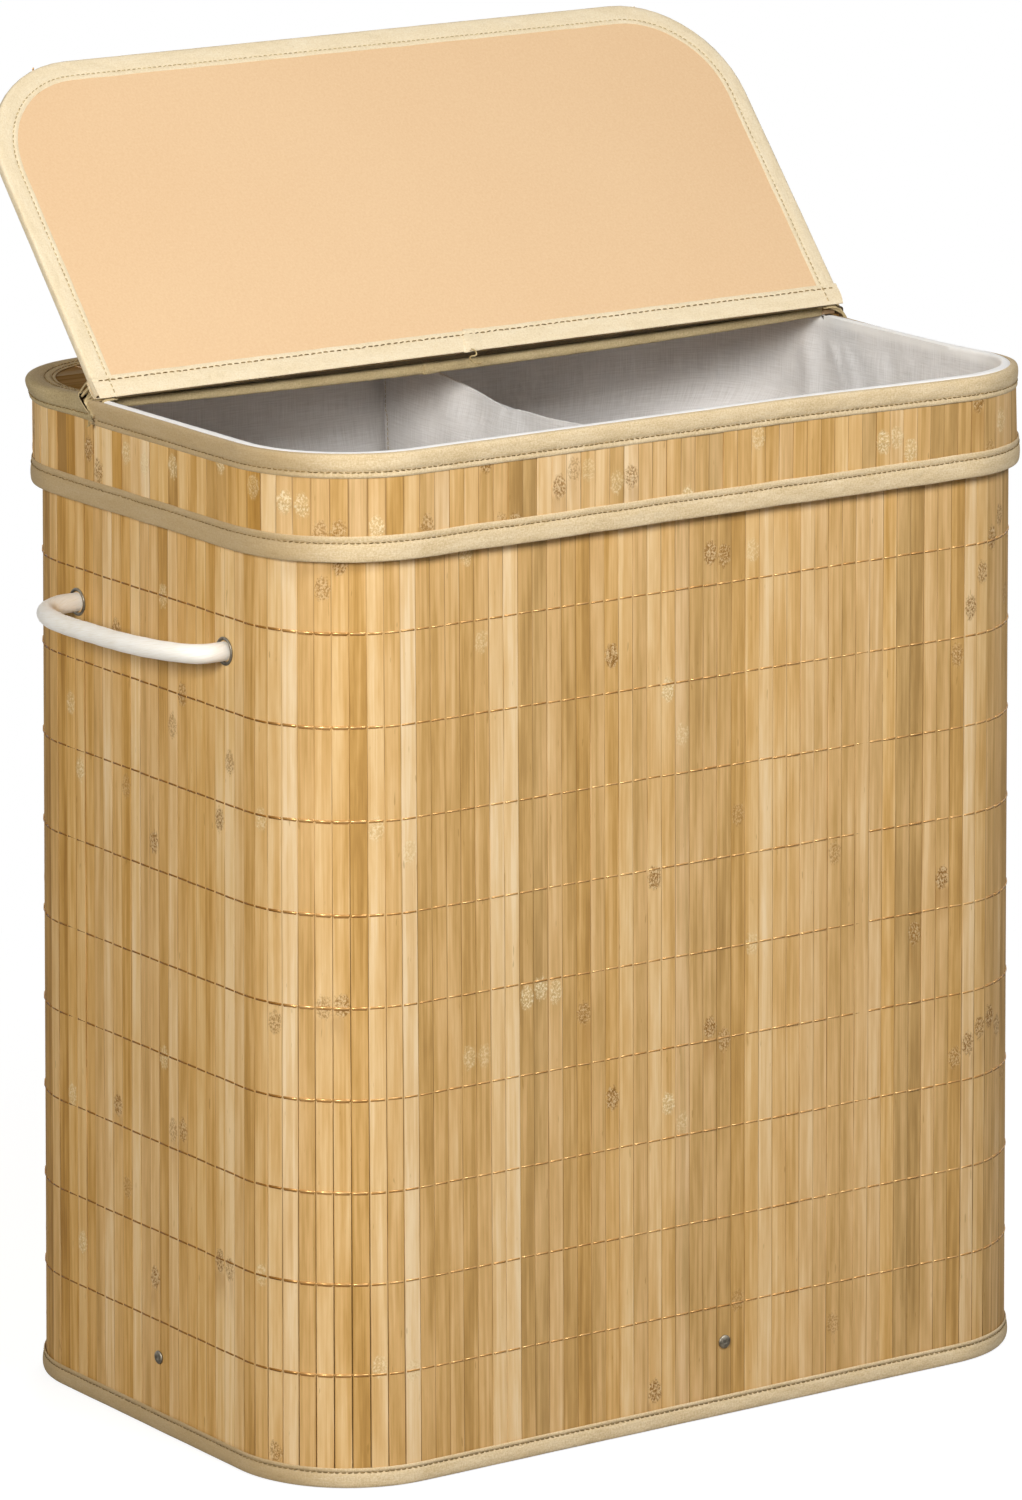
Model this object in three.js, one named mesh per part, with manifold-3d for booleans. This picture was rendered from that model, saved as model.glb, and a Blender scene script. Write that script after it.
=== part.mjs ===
// Laundry hamper with two bins: a bamboo slat body, a lid band with a hinged flap, a cotton bag and
// rope handles.
// Millimetres, +Z up. The long sides run along X and the front faces -Y.
// The origin is the middle of the underside. The flap stands open, leaning back.
import * as THREE from 'three';
import { mergeVertices } from 'three/addons/utils/BufferGeometryUtils.js';
import Module from 'manifold-3d';

const wasm = await Module();
wasm.setup();

// Body
const BODY_WIDTH = 551;
const BODY_DEPTH = 350;
const CORNER_RADIUS = 73.5;
const RIM_TOP_Z = 630;
const MAT_BOTTOM_Z = 1;
const MAT_TOP_DROP = 7.8;

// Slat mats, of flat strips with a groove between neighbours
const SLAT_PITCH = 10.4;
const SLAT_THICKNESS = 1.8;
const GROOVE_DEPTH = 0.7;
const GROOVE_HALF_WIDTH = 0.45;

// Sheets behind and between
const BACKING_THICKNESS = 1.5;
const BAND_BACKING_THICKNESS = 1;
const TAPE_THICKNESS = 0.6;
const STACK_GAP = 0.2;
const FIT_GAP = 0.3;

// Tape over the wall's top edge and bottom edge
const TOP_TAPE_HEIGHT = 14;
const TOP_TAPE_CAP = 0.6;
const BOTTOM_TAPE_Z = 0.4;
const BOTTOM_TAPE_HEIGHT = 13;
const BOTTOM_TAPE_PROUD = 1.6;
const BOTTOM_TAPE_LIP = 4.4;

// Base board and the webbing tabs that hold it
const BASE_THICKNESS = 5;
const BASE_EDGE_GAP = 0.6;
const TAB_WIDTH = 30;
const TAB_HEIGHT = 60;
const TAB_LENGTH = 45;
const TAB_THICKNESS = 1.2;
const RIVET_Z = 47;
const FRONT_RIVET_X = 22;
const SIDE_RIVET_Y = -8;
const RIVET_HEAD_RADIUS = 4;
const RIVET_HEAD_HEIGHT = 1.4;
const RIVET_STEM_RADIUS = 2;
const RIVET_TAIL_RADIUS = 3.2;
const RIVET_TAIL_THICKNESS = 0.8;
const RIVET_WASHER_RADIUS = 5.5;
const RIVET_WASHER_THICKNESS = 0.8;

// Eyelets and rope handles
const HANDLE_DROP = 129;
const EYELET_INSET = 93;
const EYELET_BORE = 6.4;
const EYELET_WALL = 0.7;
const EYELET_FLANGE_RADIUS = 9.2;
const EYELET_FLANGE_THICKNESS = 1.1;
const EYELET_TAIL_RADIUS = 8.4;
const EYELET_TAIL_THICKNESS = 0.6;
const EYELET_WASHER_RADIUS = 10;
const EYELET_WASHER_THICKNESS = 0.8;
const ROPE_RADIUS = 5.8;
const ROPE_AXIS_OUT = 8;
const ROPE_REACH = 31.5;
const ROPE_DROOP = 5;
const ROPE_POWER = 2.8;
const KNOT_RADIUS = 11;
const KNOT_LENGTH = 16;
const KNOT_TAPER = 4;

// Cotton bag
const CLOTH_THICKNESS = 1.2;
const HOOK_STRIP_THICKNESS = 1.6;
const HOOK_STRIP_DROP = 50;
const HOOK_STRIP_HEIGHT = 25;
const BAG_FLOOR_Z = 7.2;
const BAG_STEP_TOP_DROP = 56;
const BAG_STEP_BOTTOM_DROP = 100;
const BAG_SIDE_INSET = 27;
const BAG_FRONT_INSET = 10;
const BAG_CORNER_RADIUS = 55;
const BAG_HEM_DROP = 0.8;
const BAG_HEM_BEVEL = 0.9;
const DIVIDER_X = 6;
const DIVIDER_THICKNESS = 2;
const DIVIDER_DROP = 28;
const DIVIDER_SAG = 5;

// Lid band
const LID_CLEARANCE = 0.7;
const BAND_HEIGHT = 65;
const BAND_TAPE_HEIGHT = 16;
const BAND_TAPE_LIP = 10;
const LOWER_TAPE_THICKNESS = 1.4;

// Fixed rear panel of the lid
const PANEL_LIFT = 0.4;
const PANEL_DEPTH = 117;
const PANEL_BOARD = 2;
const EDGE_TAPE_WIDTH = 14;
const REAR_FLANGE_WIDTH = 22;
const REAR_TAPE_HEIGHT = 15;
const REAR_FLARE = 2.2;
const REAR_FLARE_DROP = 3.5;

// Flap, whose hinge axis lies just in from its inner face
const FLAP_SIDE_OVERHANG = 3;
const FLAP_OVERHANG = 10.8;
const FLAP_CORNER_RADIUS = 74;
const FLAP_BOARD = 2;
const HINGE_SETBACK = 8.3;
const HINGE_DEPTH = 1;
const REST_GAP = 0.35;
const HINGE_HEEL = 0.7;
const HINGE_BEVEL = 3;
const OPEN_ANGLE = 131;

// Facets
const CORNER_STEPS = 8;
const ROUND_SIDES = 12;
const SMALL_ROUND_SIDES = 10;
const ROPE_SIDES = 8;
const ROPE_STEPS = 22;
const SAG_STEPS = 12;
const WELD = 0.0005;

// Cutting blocks and pins
const CUT_OVERRUN = 5;
const PIN_LENGTH = 80;
const FAR_X = BODY_WIDTH;
const FAR_Y = BODY_DEPTH;
const HIGH_Z = RIM_TOP_Z + BODY_DEPTH;

// Distances from the wall's outer face, outward positive
const MAT_INNER = -SLAT_THICKNESS;
const BACKING_OUTER = MAT_INNER - STACK_GAP;
const BACKING_INNER = BACKING_OUTER - BACKING_THICKNESS;
const INSIDE_FACE = BACKING_INNER - STACK_GAP;
const BASE_EDGE = INSIDE_FACE - TAPE_THICKNESS - BASE_EDGE_GAP;
const BAG_TOP_OUTER = INSIDE_FACE - HOOK_STRIP_THICKNESS - STACK_GAP;
const BAND_LINING_INNER = LID_CLEARANCE;
const BAND_LINING_OUTER = BAND_LINING_INNER + TAPE_THICKNESS;
const BAND_BACKING_INNER = BAND_LINING_OUTER + STACK_GAP;
const BAND_BACKING_OUTER = BAND_BACKING_INNER + BAND_BACKING_THICKNESS;
const BAND_SLAT_INNER = BAND_BACKING_OUTER + STACK_GAP;
const BAND_SLAT_OUTER = BAND_SLAT_INNER + SLAT_THICKNESS;
const BAND_TAPE_INNER = BAND_SLAT_OUTER + STACK_GAP;
const BAND_TAPE_OUTER = BAND_TAPE_INNER + TAPE_THICKNESS;

// Heights that follow from the rim's
const MAT_TOP_Z = RIM_TOP_Z - MAT_TOP_DROP;
const WALL_TOP_Z = MAT_TOP_Z + STACK_GAP + TOP_TAPE_CAP;
const BAG_REST_Z = WALL_TOP_Z + FIT_GAP;
const BAG_HEM_TOP_Z = RIM_TOP_Z - BAG_HEM_DROP;
const BAG_STEP_TOP_Z = RIM_TOP_Z - BAG_STEP_TOP_DROP;
const BAG_STEP_BOTTOM_Z = RIM_TOP_Z - BAG_STEP_BOTTOM_DROP;
const HOOK_STRIP_BOTTOM_Z = RIM_TOP_Z - HOOK_STRIP_DROP;
const DIVIDER_TOP_Z = RIM_TOP_Z - DIVIDER_DROP;
const BAND_BOTTOM_Z = RIM_TOP_Z - BAND_HEIGHT;
const HANDLE_Z = RIM_TOP_Z - HANDLE_DROP;
const PANEL_UNDER_Z = WALL_TOP_Z + PANEL_LIFT;
const PANEL_BOARD_Z = PANEL_UNDER_Z + TAPE_THICKNESS + STACK_GAP;
const PANEL_SLAT_Z = PANEL_BOARD_Z + PANEL_BOARD + STACK_GAP;
const PANEL_SLAT_TOP_Z = PANEL_SLAT_Z + SLAT_THICKNESS;
const PANEL_TAPE_Z = PANEL_SLAT_TOP_Z + STACK_GAP;
const PANEL_TOP_Z = PANEL_TAPE_Z + TAPE_THICKNESS;
const FLAP_THICKNESS = 2 * TAPE_THICKNESS + FLAP_BOARD + SLAT_THICKNESS + 3 * STACK_GAP;
const HINGE_Z = RIM_TOP_Z + REST_GAP + HINGE_DEPTH;

// Places along the depth, and sizes that follow from the body's
const HANDLE_HALF_SPAN = BODY_DEPTH / 2 - EYELET_INSET;
const PANEL_FRONT_Y = BODY_DEPTH / 2 - PANEL_DEPTH;
const HINGE_Y = PANEL_FRONT_Y - HINGE_SETBACK;
const FLAP_WIDTH = BODY_WIDTH + 2 * FLAP_SIDE_OVERHANG;
const FLAP_REACH = HINGE_Y + BODY_DEPTH / 2 + FLAP_OVERHANG;

// Materials
function finish(color, roughness, metalness = 0) {
  return new THREE.MeshStandardMaterial({ color, roughness, metalness });
}
const FINISHES = {
  bamboo: finish(0xcda56b, 0.5),
  tape: finish(0xc9b486, 0.85),
  board: finish(0xb9a27c, 0.8),
  lining: finish(0xeccba0, 0.8),
  cotton: finish(0xe4e1dc, 0.95),
  rope: finish(0xf3f0e8, 0.9),
  steel: finish(0x6c6f74, 0.35, 1),
};

const hamper = new THREE.Group();

function add(name, geometry, surface, parent = hamper) {
  const mesh = new THREE.Mesh(geometry, surface);
  mesh.name = name;
  parent.add(mesh);
  return mesh;
}

// Solids
function toSolid(geometry) {
  const bare = geometry.clone();
  bare.deleteAttribute('normal');
  bare.deleteAttribute('uv');
  const merged = mergeVertices(bare, WELD);
  return new wasm.Manifold(new wasm.Mesh({
    numProp: 3,
    vertProperties: merged.attributes.position.array,
    triVerts: new Uint32Array(merged.index.array),
  }));
}

function toGeometry(solid) {
  const { vertProperties, triVerts } = solid.getMesh();
  return closedGeometry(vertProperties, triVerts);
}

function closedGeometry(positions, indices) {
  const geometry = new THREE.BufferGeometry();
  geometry.setAttribute('position', new THREE.BufferAttribute(new Float32Array(positions), 3));
  geometry.setIndex(new THREE.BufferAttribute(new Uint32Array(indices), 1));
  geometry.computeVertexNormals();
  return geometry;
}

function cut(geometry, ...tools) {
  return toGeometry(tools.reduce((solid, tool) => solid.subtract(toSolid(tool)), toSolid(geometry)));
}

function boxBetween(low, high) {
  const size = high.map((value, axis) => value - low[axis]);
  const box = new THREE.BoxGeometry(...size);
  return box.translate(...high.map((value, axis) => (value + low[axis]) / 2));
}

// Outline of a rectangle with round corners, counter-clockwise from above, as corner centres and directions.
// The corner facets touch the true arc from outside, so nested outlines and the slats inside them stay clear.
function outlineSamples(halfX, halfY, radius) {
  const corners = [[1, -1], [1, 1], [-1, 1], [-1, -1]];
  const halfFacet = Math.PI / 4 / CORNER_STEPS;
  return corners.flatMap(([signX, signY], quarter) => Array.from({ length: CORNER_STEPS }, (_, step) => {
    const angle = (quarter - 1) * Math.PI / 2 + (2 * step + 1) * halfFacet;
    const centre = new THREE.Vector2(signX * (halfX - radius), signY * (halfY - radius));
    const direction = new THREE.Vector2(Math.cos(angle), Math.sin(angle)).divideScalar(Math.cos(halfFacet));
    return { centre, radius, direction };
  }));
}

function samplePoint({ centre, radius, direction }, offset) {
  return centre.clone().addScaledVector(direction, radius + offset);
}

const WALL_SAMPLES = outlineSamples(BODY_WIDTH / 2, BODY_DEPTH / 2, CORNER_RADIUS);

function wallOutline(offset) {
  return WALL_SAMPLES.map((sample) => samplePoint(sample, offset));
}

function upright(outer, inner, bottom, top) {
  const shape = new THREE.Shape(outer);
  if (inner) shape.holes.push(new THREE.Path(inner));
  const geometry = new THREE.ExtrudeGeometry(shape, { depth: top - bottom, bevelEnabled: false });
  return geometry.translate(0, 0, bottom);
}

// Sweep of a closed profile of (offset, z) points, counter-clockwise, all round the wall's outline
function ringSweep(profile) {
  const positions = [];
  const indices = [];
  const count = profile.length;
  WALL_SAMPLES.forEach((sample, i) => {
    const next = (i + 1) % WALL_SAMPLES.length;
    profile.forEach(([offset, z], j) => {
      const point = samplePoint(sample, offset);
      positions.push(point.x, point.y, z);
      const k = (j + 1) % count;
      const [a, b, c, d] = [i * count + j, next * count + j, next * count + k, i * count + k];
      indices.push(a, b, c, a, c, d);
    });
  });
  return closedGeometry(positions, indices);
}

// Skin through rings of equal length, closed at both ends
function ringLoft(rings) {
  const count = rings[0].length;
  const positions = rings.flat().flatMap((point) => point.toArray());
  const indices = [];
  for (let level = 0; level < rings.length - 1; level += 1) {
    for (let i = 0; i < count; i += 1) {
      const j = (i + 1) % count;
      const [a, b] = [level * count + i, level * count + j];
      indices.push(a, b, b + count, a, b + count, a + count);
    }
  }
  const last = (rings.length - 1) * count;
  for (let i = 1; i < count - 1; i += 1) {
    indices.push(0, i + 1, i);
    indices.push(last, last + i, last + i + 1);
  }
  return closedGeometry(positions, indices);
}

// Slat mat wrapped round the wall
function wrapPoint(distance, offset) {
  const halfX = BODY_WIDTH / 2 - CORNER_RADIUS;
  const halfY = BODY_DEPTH / 2 - CORNER_RADIUS;
  const arc = CORNER_RADIUS * Math.PI / 2;
  const centres = [[-halfX, -halfY], [halfX, -halfY], [halfX, halfY], [-halfX, halfY]];
  let rest = distance;
  let side = 0;
  const straight = () => (side % 2 === 0 ? 2 * halfX : 2 * halfY);
  while (rest >= straight() + arc) {
    rest -= straight() + arc;
    side += 1;
  }
  const along = Math.min(rest, straight());
  const angle = (side - 1) * Math.PI / 2;
  const heading = new THREE.Vector2(Math.cos(angle + Math.PI / 2), Math.sin(angle + Math.PI / 2));
  const turned = angle + (rest - along) / CORNER_RADIUS;
  const outward = new THREE.Vector2(Math.cos(turned), Math.sin(turned));
  const start = new THREE.Vector2(...centres[side]);
  return start.addScaledVector(heading, along).addScaledVector(outward, CORNER_RADIUS + offset);
}

function wrappedMat(outer, inner, bottom, top) {
  const straights = 2 * (BODY_WIDTH + BODY_DEPTH - 4 * CORNER_RADIUS);
  const perimeter = straights + 2 * Math.PI * CORNER_RADIUS;
  const count = Math.round(perimeter / SLAT_PITCH);
  const pitch = perimeter / count;
  const points = [];
  for (let i = 0; i < count; i += 1) {
    points.push(wrapPoint(i * pitch, outer - GROOVE_DEPTH));
    points.push(wrapPoint(i * pitch + GROOVE_HALF_WIDTH, outer));
    points.push(wrapPoint((i + 1) * pitch - GROOVE_HALF_WIDTH, outer));
  }
  return upright(points, wallOutline(inner), bottom, top);
}

// Flat slat mat with its slats along X: a grooved sheet, trimmed to an outline
function flatMat(outlinePoints, frontY, backY, bottom) {
  const count = Math.round((backY - frontY) / SLAT_PITCH);
  const pitch = (backY - frontY) / count;
  const top = bottom + SLAT_THICKNESS;
  const points = [new THREE.Vector2(frontY, bottom), new THREE.Vector2(backY, bottom)];
  points.push(new THREE.Vector2(backY, top));
  for (let i = count - 1; i > 0; i -= 1) {
    const y = frontY + i * pitch;
    points.push(new THREE.Vector2(y + GROOVE_HALF_WIDTH, top));
    points.push(new THREE.Vector2(y, top - GROOVE_DEPTH));
    points.push(new THREE.Vector2(y - GROOVE_HALF_WIDTH, top));
  }
  points.push(new THREE.Vector2(frontY, top));
  const sheet = alongX(points, -FAR_X, FAR_X);
  const trim = upright(outlinePoints, null, bottom - CUT_OVERRUN, top + CUT_OVERRUN);
  return toGeometry(toSolid(sheet).intersect(toSolid(trim)));
}

// Profile of (y, z) points drawn out along X
function alongX(points, from, to) {
  const shape = new THREE.Shape(points);
  const geometry = new THREE.ExtrudeGeometry(shape, { depth: to - from, bevelEnabled: false });
  const turn = new THREE.Matrix4().makeBasis(
    new THREE.Vector3(0, 1, 0), new THREE.Vector3(0, 0, 1), new THREE.Vector3(1, 0, 0));
  return geometry.applyMatrix4(turn).translate(from, 0, 0);
}

// Turned pieces whose axis points out of the wall: profile of (radius, distance out) points
function turned(profile, sides, side) {
  const points = profile.map(([radius, out]) => new THREE.Vector2(radius, out));
  const geometry = new THREE.LatheGeometry(points, sides);
  return onSide(geometry, side);
}

// Places a piece modelled on +Y outward, X across and Z up on one side of the body
function onSide(geometry, { turn, distance, across, z }) {
  geometry.applyMatrix4(new THREE.Matrix4().makeTranslation(0, distance, 0));
  const frame = new THREE.Matrix4().makeRotationZ(turn);
  geometry.applyMatrix4(frame);
  const shift = new THREE.Vector3(Math.abs(Math.cos(turn)) * across, Math.abs(Math.sin(turn)) * across, z);
  return geometry.translate(...shift);
}

function hole(radius, sides, place) {
  return onSide(new THREE.CylinderGeometry(radius, radius, PIN_LENGTH, sides), place);
}

const RIVET_PLACES = {
  front: { turn: Math.PI, distance: BODY_DEPTH / 2, across: FRONT_RIVET_X, z: RIVET_Z },
  rear: { turn: 0, distance: BODY_DEPTH / 2, across: FRONT_RIVET_X, z: RIVET_Z },
  left: { turn: Math.PI / 2, distance: BODY_WIDTH / 2, across: SIDE_RIVET_Y, z: RIVET_Z },
  right: { turn: -Math.PI / 2, distance: BODY_WIDTH / 2, across: SIDE_RIVET_Y, z: RIVET_Z },
};
const EYELET_PLACES = {};
for (const [side, turn] of [['left', Math.PI / 2], ['right', -Math.PI / 2]]) {
  for (const [end, sign] of [['front', -1], ['rear', 1]]) {
    EYELET_PLACES[`${side}_${end}`] = {
      turn, distance: BODY_WIDTH / 2, across: sign * HANDLE_HALF_SPAN, z: HANDLE_Z,
    };
  }
}

const STEM_HOLE = RIVET_STEM_RADIUS + FIT_GAP;
const BARREL_RADIUS = EYELET_BORE + EYELET_WALL;
const BARREL_HOLE = BARREL_RADIUS + FIT_GAP;

function wallHoles() {
  return [
    ...Object.values(RIVET_PLACES).map((place) => hole(STEM_HOLE, SMALL_ROUND_SIDES, place)),
    ...Object.values(EYELET_PLACES).map((place) => hole(BARREL_HOLE, ROUND_SIDES, place)),
  ];
}

// Body wall
add('wall_slats',
  cut(wrappedMat(0, MAT_INNER, MAT_BOTTOM_Z, MAT_TOP_Z), ...wallHoles()),
  FINISHES.bamboo);
add('wall_backing',
  cut(upright(wallOutline(BACKING_OUTER), wallOutline(BACKING_INNER), MAT_BOTTOM_Z, MAT_TOP_Z),
    ...wallHoles()),
  FINISHES.board);
add('wall_top_binding', ringSweep([
  [INSIDE_FACE - TAPE_THICKNESS, WALL_TOP_Z - TOP_TAPE_HEIGHT],
  [INSIDE_FACE, WALL_TOP_Z - TOP_TAPE_HEIGHT],
  [INSIDE_FACE, MAT_TOP_Z + STACK_GAP],
  [0, MAT_TOP_Z + STACK_GAP],
  [0, WALL_TOP_Z],
  [INSIDE_FACE - TAPE_THICKNESS, WALL_TOP_Z],
]), FINISHES.tape);
add('bottom_binding', ringSweep([
  [INSIDE_FACE - TAPE_THICKNESS, BOTTOM_TAPE_Z],
  [BOTTOM_TAPE_PROUD - TAPE_THICKNESS, BOTTOM_TAPE_Z],
  [BOTTOM_TAPE_PROUD, BOTTOM_TAPE_Z + TAPE_THICKNESS],
  [BOTTOM_TAPE_PROUD, BOTTOM_TAPE_HEIGHT - TAPE_THICKNESS],
  [BOTTOM_TAPE_PROUD - TAPE_THICKNESS, BOTTOM_TAPE_HEIGHT],
  [STACK_GAP, BOTTOM_TAPE_HEIGHT],
  [STACK_GAP, MAT_BOTTOM_Z - STACK_GAP],
  [INSIDE_FACE, MAT_BOTTOM_Z - STACK_GAP],
  [INSIDE_FACE, BOTTOM_TAPE_LIP],
  [INSIDE_FACE - TAPE_THICKNESS, BOTTOM_TAPE_LIP],
]), FINISHES.tape);

// Base board, tabs, rivets and washers
add('base_panel', upright(wallOutline(BASE_EDGE), null, 0, BASE_THICKNESS), FINISHES.board);
const TAB_Z = BASE_THICKNESS + FIT_GAP;
for (const [side, place] of Object.entries(RIVET_PLACES)) {
  const outer = INSIDE_FACE;
  const inner = outer - TAB_THICKNESS;
  const profile = [
    [outer - TAB_LENGTH, TAB_Z], [outer, TAB_Z], [outer, TAB_Z + TAB_HEIGHT], [inner, TAB_Z + TAB_HEIGHT],
    [inner, TAB_Z + TAB_THICKNESS], [outer - TAB_LENGTH, TAB_Z + TAB_THICKNESS],
  ].map(([out, z]) => new THREE.Vector2(out, z));
  const tab = onSide(alongX(profile, -TAB_WIDTH / 2, TAB_WIDTH / 2), { ...place, z: 0 });
  add(`base_tab_${side}`, cut(tab, hole(STEM_HOLE, SMALL_ROUND_SIDES, place)), FINISHES.tape);

  const washerOut = inner - STACK_GAP;
  const washerIn = washerOut - RIVET_WASHER_THICKNESS;
  add(`rivet_washer_${side}`, turned([
    [STEM_HOLE, washerIn], [RIVET_WASHER_RADIUS, washerIn], [RIVET_WASHER_RADIUS, washerOut],
    [STEM_HOLE, washerOut], [STEM_HOLE, washerIn],
  ], SMALL_ROUND_SIDES, place), FINISHES.steel);

  const tailOut = washerIn - STACK_GAP;
  const tailIn = tailOut - RIVET_TAIL_THICKNESS;
  const brow = STACK_GAP + RIVET_HEAD_HEIGHT / 2;
  const crown = STACK_GAP + RIVET_HEAD_HEIGHT;
  add(`rivet_${side}`, turned([
    [0, tailIn], [RIVET_TAIL_RADIUS, tailIn], [RIVET_TAIL_RADIUS, tailOut], [RIVET_STEM_RADIUS, tailOut],
    [RIVET_STEM_RADIUS, STACK_GAP], [RIVET_HEAD_RADIUS, STACK_GAP], [RIVET_HEAD_RADIUS, brow],
    [RIVET_HEAD_RADIUS - RIVET_STEM_RADIUS, crown], [0, crown],
  ], SMALL_ROUND_SIDES, place), FINISHES.steel);
}

// Eyelets, their washers, and the rope ends that are knotted behind them
for (const [name, place] of Object.entries(EYELET_PLACES)) {
  const washerOut = INSIDE_FACE;
  const washerIn = washerOut - EYELET_WASHER_THICKNESS;
  add(`eyelet_washer_${name}`, turned([
    [BARREL_HOLE, washerIn], [EYELET_WASHER_RADIUS, washerIn], [EYELET_WASHER_RADIUS, washerOut],
    [BARREL_HOLE, washerOut], [BARREL_HOLE, washerIn],
  ], ROUND_SIDES, place), FINISHES.steel);

  const tailOut = washerIn - STACK_GAP;
  const tailIn = tailOut - EYELET_TAIL_THICKNESS;
  const lip = STACK_GAP + EYELET_FLANGE_THICKNESS;
  add(`eyelet_${name}`, turned([
    [EYELET_BORE, tailIn], [EYELET_TAIL_RADIUS, tailIn], [EYELET_TAIL_RADIUS, tailOut],
    [BARREL_RADIUS, tailOut], [BARREL_RADIUS, STACK_GAP], [EYELET_FLANGE_RADIUS, STACK_GAP],
    [EYELET_FLANGE_RADIUS - EYELET_WALL / 2, lip - EYELET_WALL / 2],
    [BARREL_RADIUS, lip], [EYELET_BORE, STACK_GAP], [EYELET_BORE, tailIn],
  ], ROUND_SIDES, place), FINISHES.steel);

  const knotOut = tailIn - FIT_GAP;
  const knotIn = knotOut - KNOT_LENGTH;
  const stubEnd = ROPE_AXIS_OUT - ROPE_RADIUS - FIT_GAP;
  const shoulder = (KNOT_RADIUS + ROPE_RADIUS) / 2;
  add(`rope_end_${name}`, turned([
    [0, knotIn], [ROPE_RADIUS, knotIn], [KNOT_RADIUS, knotIn + KNOT_TAPER],
    [KNOT_RADIUS, knotOut - KNOT_TAPER], [shoulder, knotOut], [ROPE_RADIUS, knotOut],
    [ROPE_RADIUS, stubEnd], [0, stubEnd],
  ], ROUND_SIDES, place), FINISHES.rope);
}

// Rope handles, bowed out of the eyelets, with round ends on the line that they swing about
class HandleCurve extends THREE.Curve {
  constructor(outwardSign) {
    super();
    this.outwardSign = outwardSign;
  }

  getPoint(share, target = new THREE.Vector3()) {
    const angle = share * Math.PI;
    const bend = (value) => Math.sign(value) * Math.abs(value) ** (2 / ROPE_POWER);
    const out = ROPE_REACH * bend(Math.sin(angle));
    const across = -HANDLE_HALF_SPAN * bend(Math.cos(angle)) * this.outwardSign;
    const x = this.outwardSign * (BODY_WIDTH / 2 + ROPE_AXIS_OUT + out);
    return target.set(x, across, HANDLE_Z - ROPE_DROOP * Math.sin(angle));
  }
}

function roundSection(radius, sides) {
  return new THREE.Shape(Array.from({ length: sides }, (_, i) => {
    const angle = i * 2 * Math.PI / sides;
    return new THREE.Vector2(radius * Math.cos(angle), radius * Math.sin(angle));
  }));
}

for (const [side, sign] of [['left', -1], ['right', 1]]) {
  const tube = new THREE.ExtrudeGeometry(roundSection(ROPE_RADIUS, ROPE_SIDES), {
    steps: ROPE_STEPS, extrudePath: new HandleCurve(sign), bevelEnabled: false,
  });
  const ends = [-1, 1].map((end) => new THREE.SphereGeometry(ROPE_RADIUS, ROPE_SIDES, ROPE_SIDES)
    .translate(sign * (BODY_WIDTH / 2 + ROPE_AXIS_OUT), end * HANDLE_HALF_SPAN, HANDLE_Z));
  const solid = ends.reduce((whole, ball) => whole.add(toSolid(ball)), toSolid(tube));
  add(`rope_${side}`, toGeometry(solid), FINISHES.rope);
}

// Cotton bag: hem over the wall's top edge, close to the wall above, clear of the knots below
add('liner_hook_strip',
  upright(wallOutline(INSIDE_FACE), wallOutline(INSIDE_FACE - HOOK_STRIP_THICKNESS),
    HOOK_STRIP_BOTTOM_Z, HOOK_STRIP_BOTTOM_Z + HOOK_STRIP_HEIGHT),
  FINISHES.tape);

function wallRing(offset, z) {
  return wallOutline(offset).map((point) => new THREE.Vector3(point.x, point.y, z));
}

function lowerRing(thickness, z) {
  const halfX = BODY_WIDTH / 2 - BAG_SIDE_INSET;
  const halfY = BODY_DEPTH / 2 - BAG_FRONT_INSET;
  return outlineSamples(halfX, halfY, BAG_CORNER_RADIUS)
    .map((sample) => samplePoint(sample, -thickness))
    .map((point) => new THREE.Vector3(point.x, point.y, z));
}

const BAG_TOP_INNER = BAG_TOP_OUTER - CLOTH_THICKNESS;
const bag = ringLoft([
  lowerRing(0, BAG_FLOOR_Z),
  lowerRing(0, BAG_STEP_BOTTOM_Z),
  wallRing(BAG_TOP_OUTER, BAG_STEP_TOP_Z),
  wallRing(BAG_TOP_OUTER, BAG_REST_Z),
  wallRing(-FIT_GAP, BAG_REST_Z),
  wallRing(-FIT_GAP, BAG_HEM_TOP_Z - BAG_HEM_BEVEL),
  wallRing(-FIT_GAP - BAG_HEM_BEVEL, BAG_HEM_TOP_Z),
  wallRing(BAG_TOP_INNER + BAG_HEM_BEVEL, BAG_HEM_TOP_Z),
  wallRing(BAG_TOP_INNER, BAG_HEM_TOP_Z - BAG_HEM_BEVEL),
  wallRing(BAG_TOP_INNER, BAG_STEP_TOP_Z),
  lowerRing(CLOTH_THICKNESS, BAG_STEP_BOTTOM_Z),
  lowerRing(CLOTH_THICKNESS, BAG_FLOOR_Z + CLOTH_THICKNESS),
]);
add('liner_bag',
  cut(bag, boxBetween([-FAR_X, PANEL_FRONT_Y - FIT_GAP, PANEL_UNDER_Z - FIT_GAP], [FAR_X, FAR_Y, HIGH_Z])),
  FINISHES.cotton);

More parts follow.
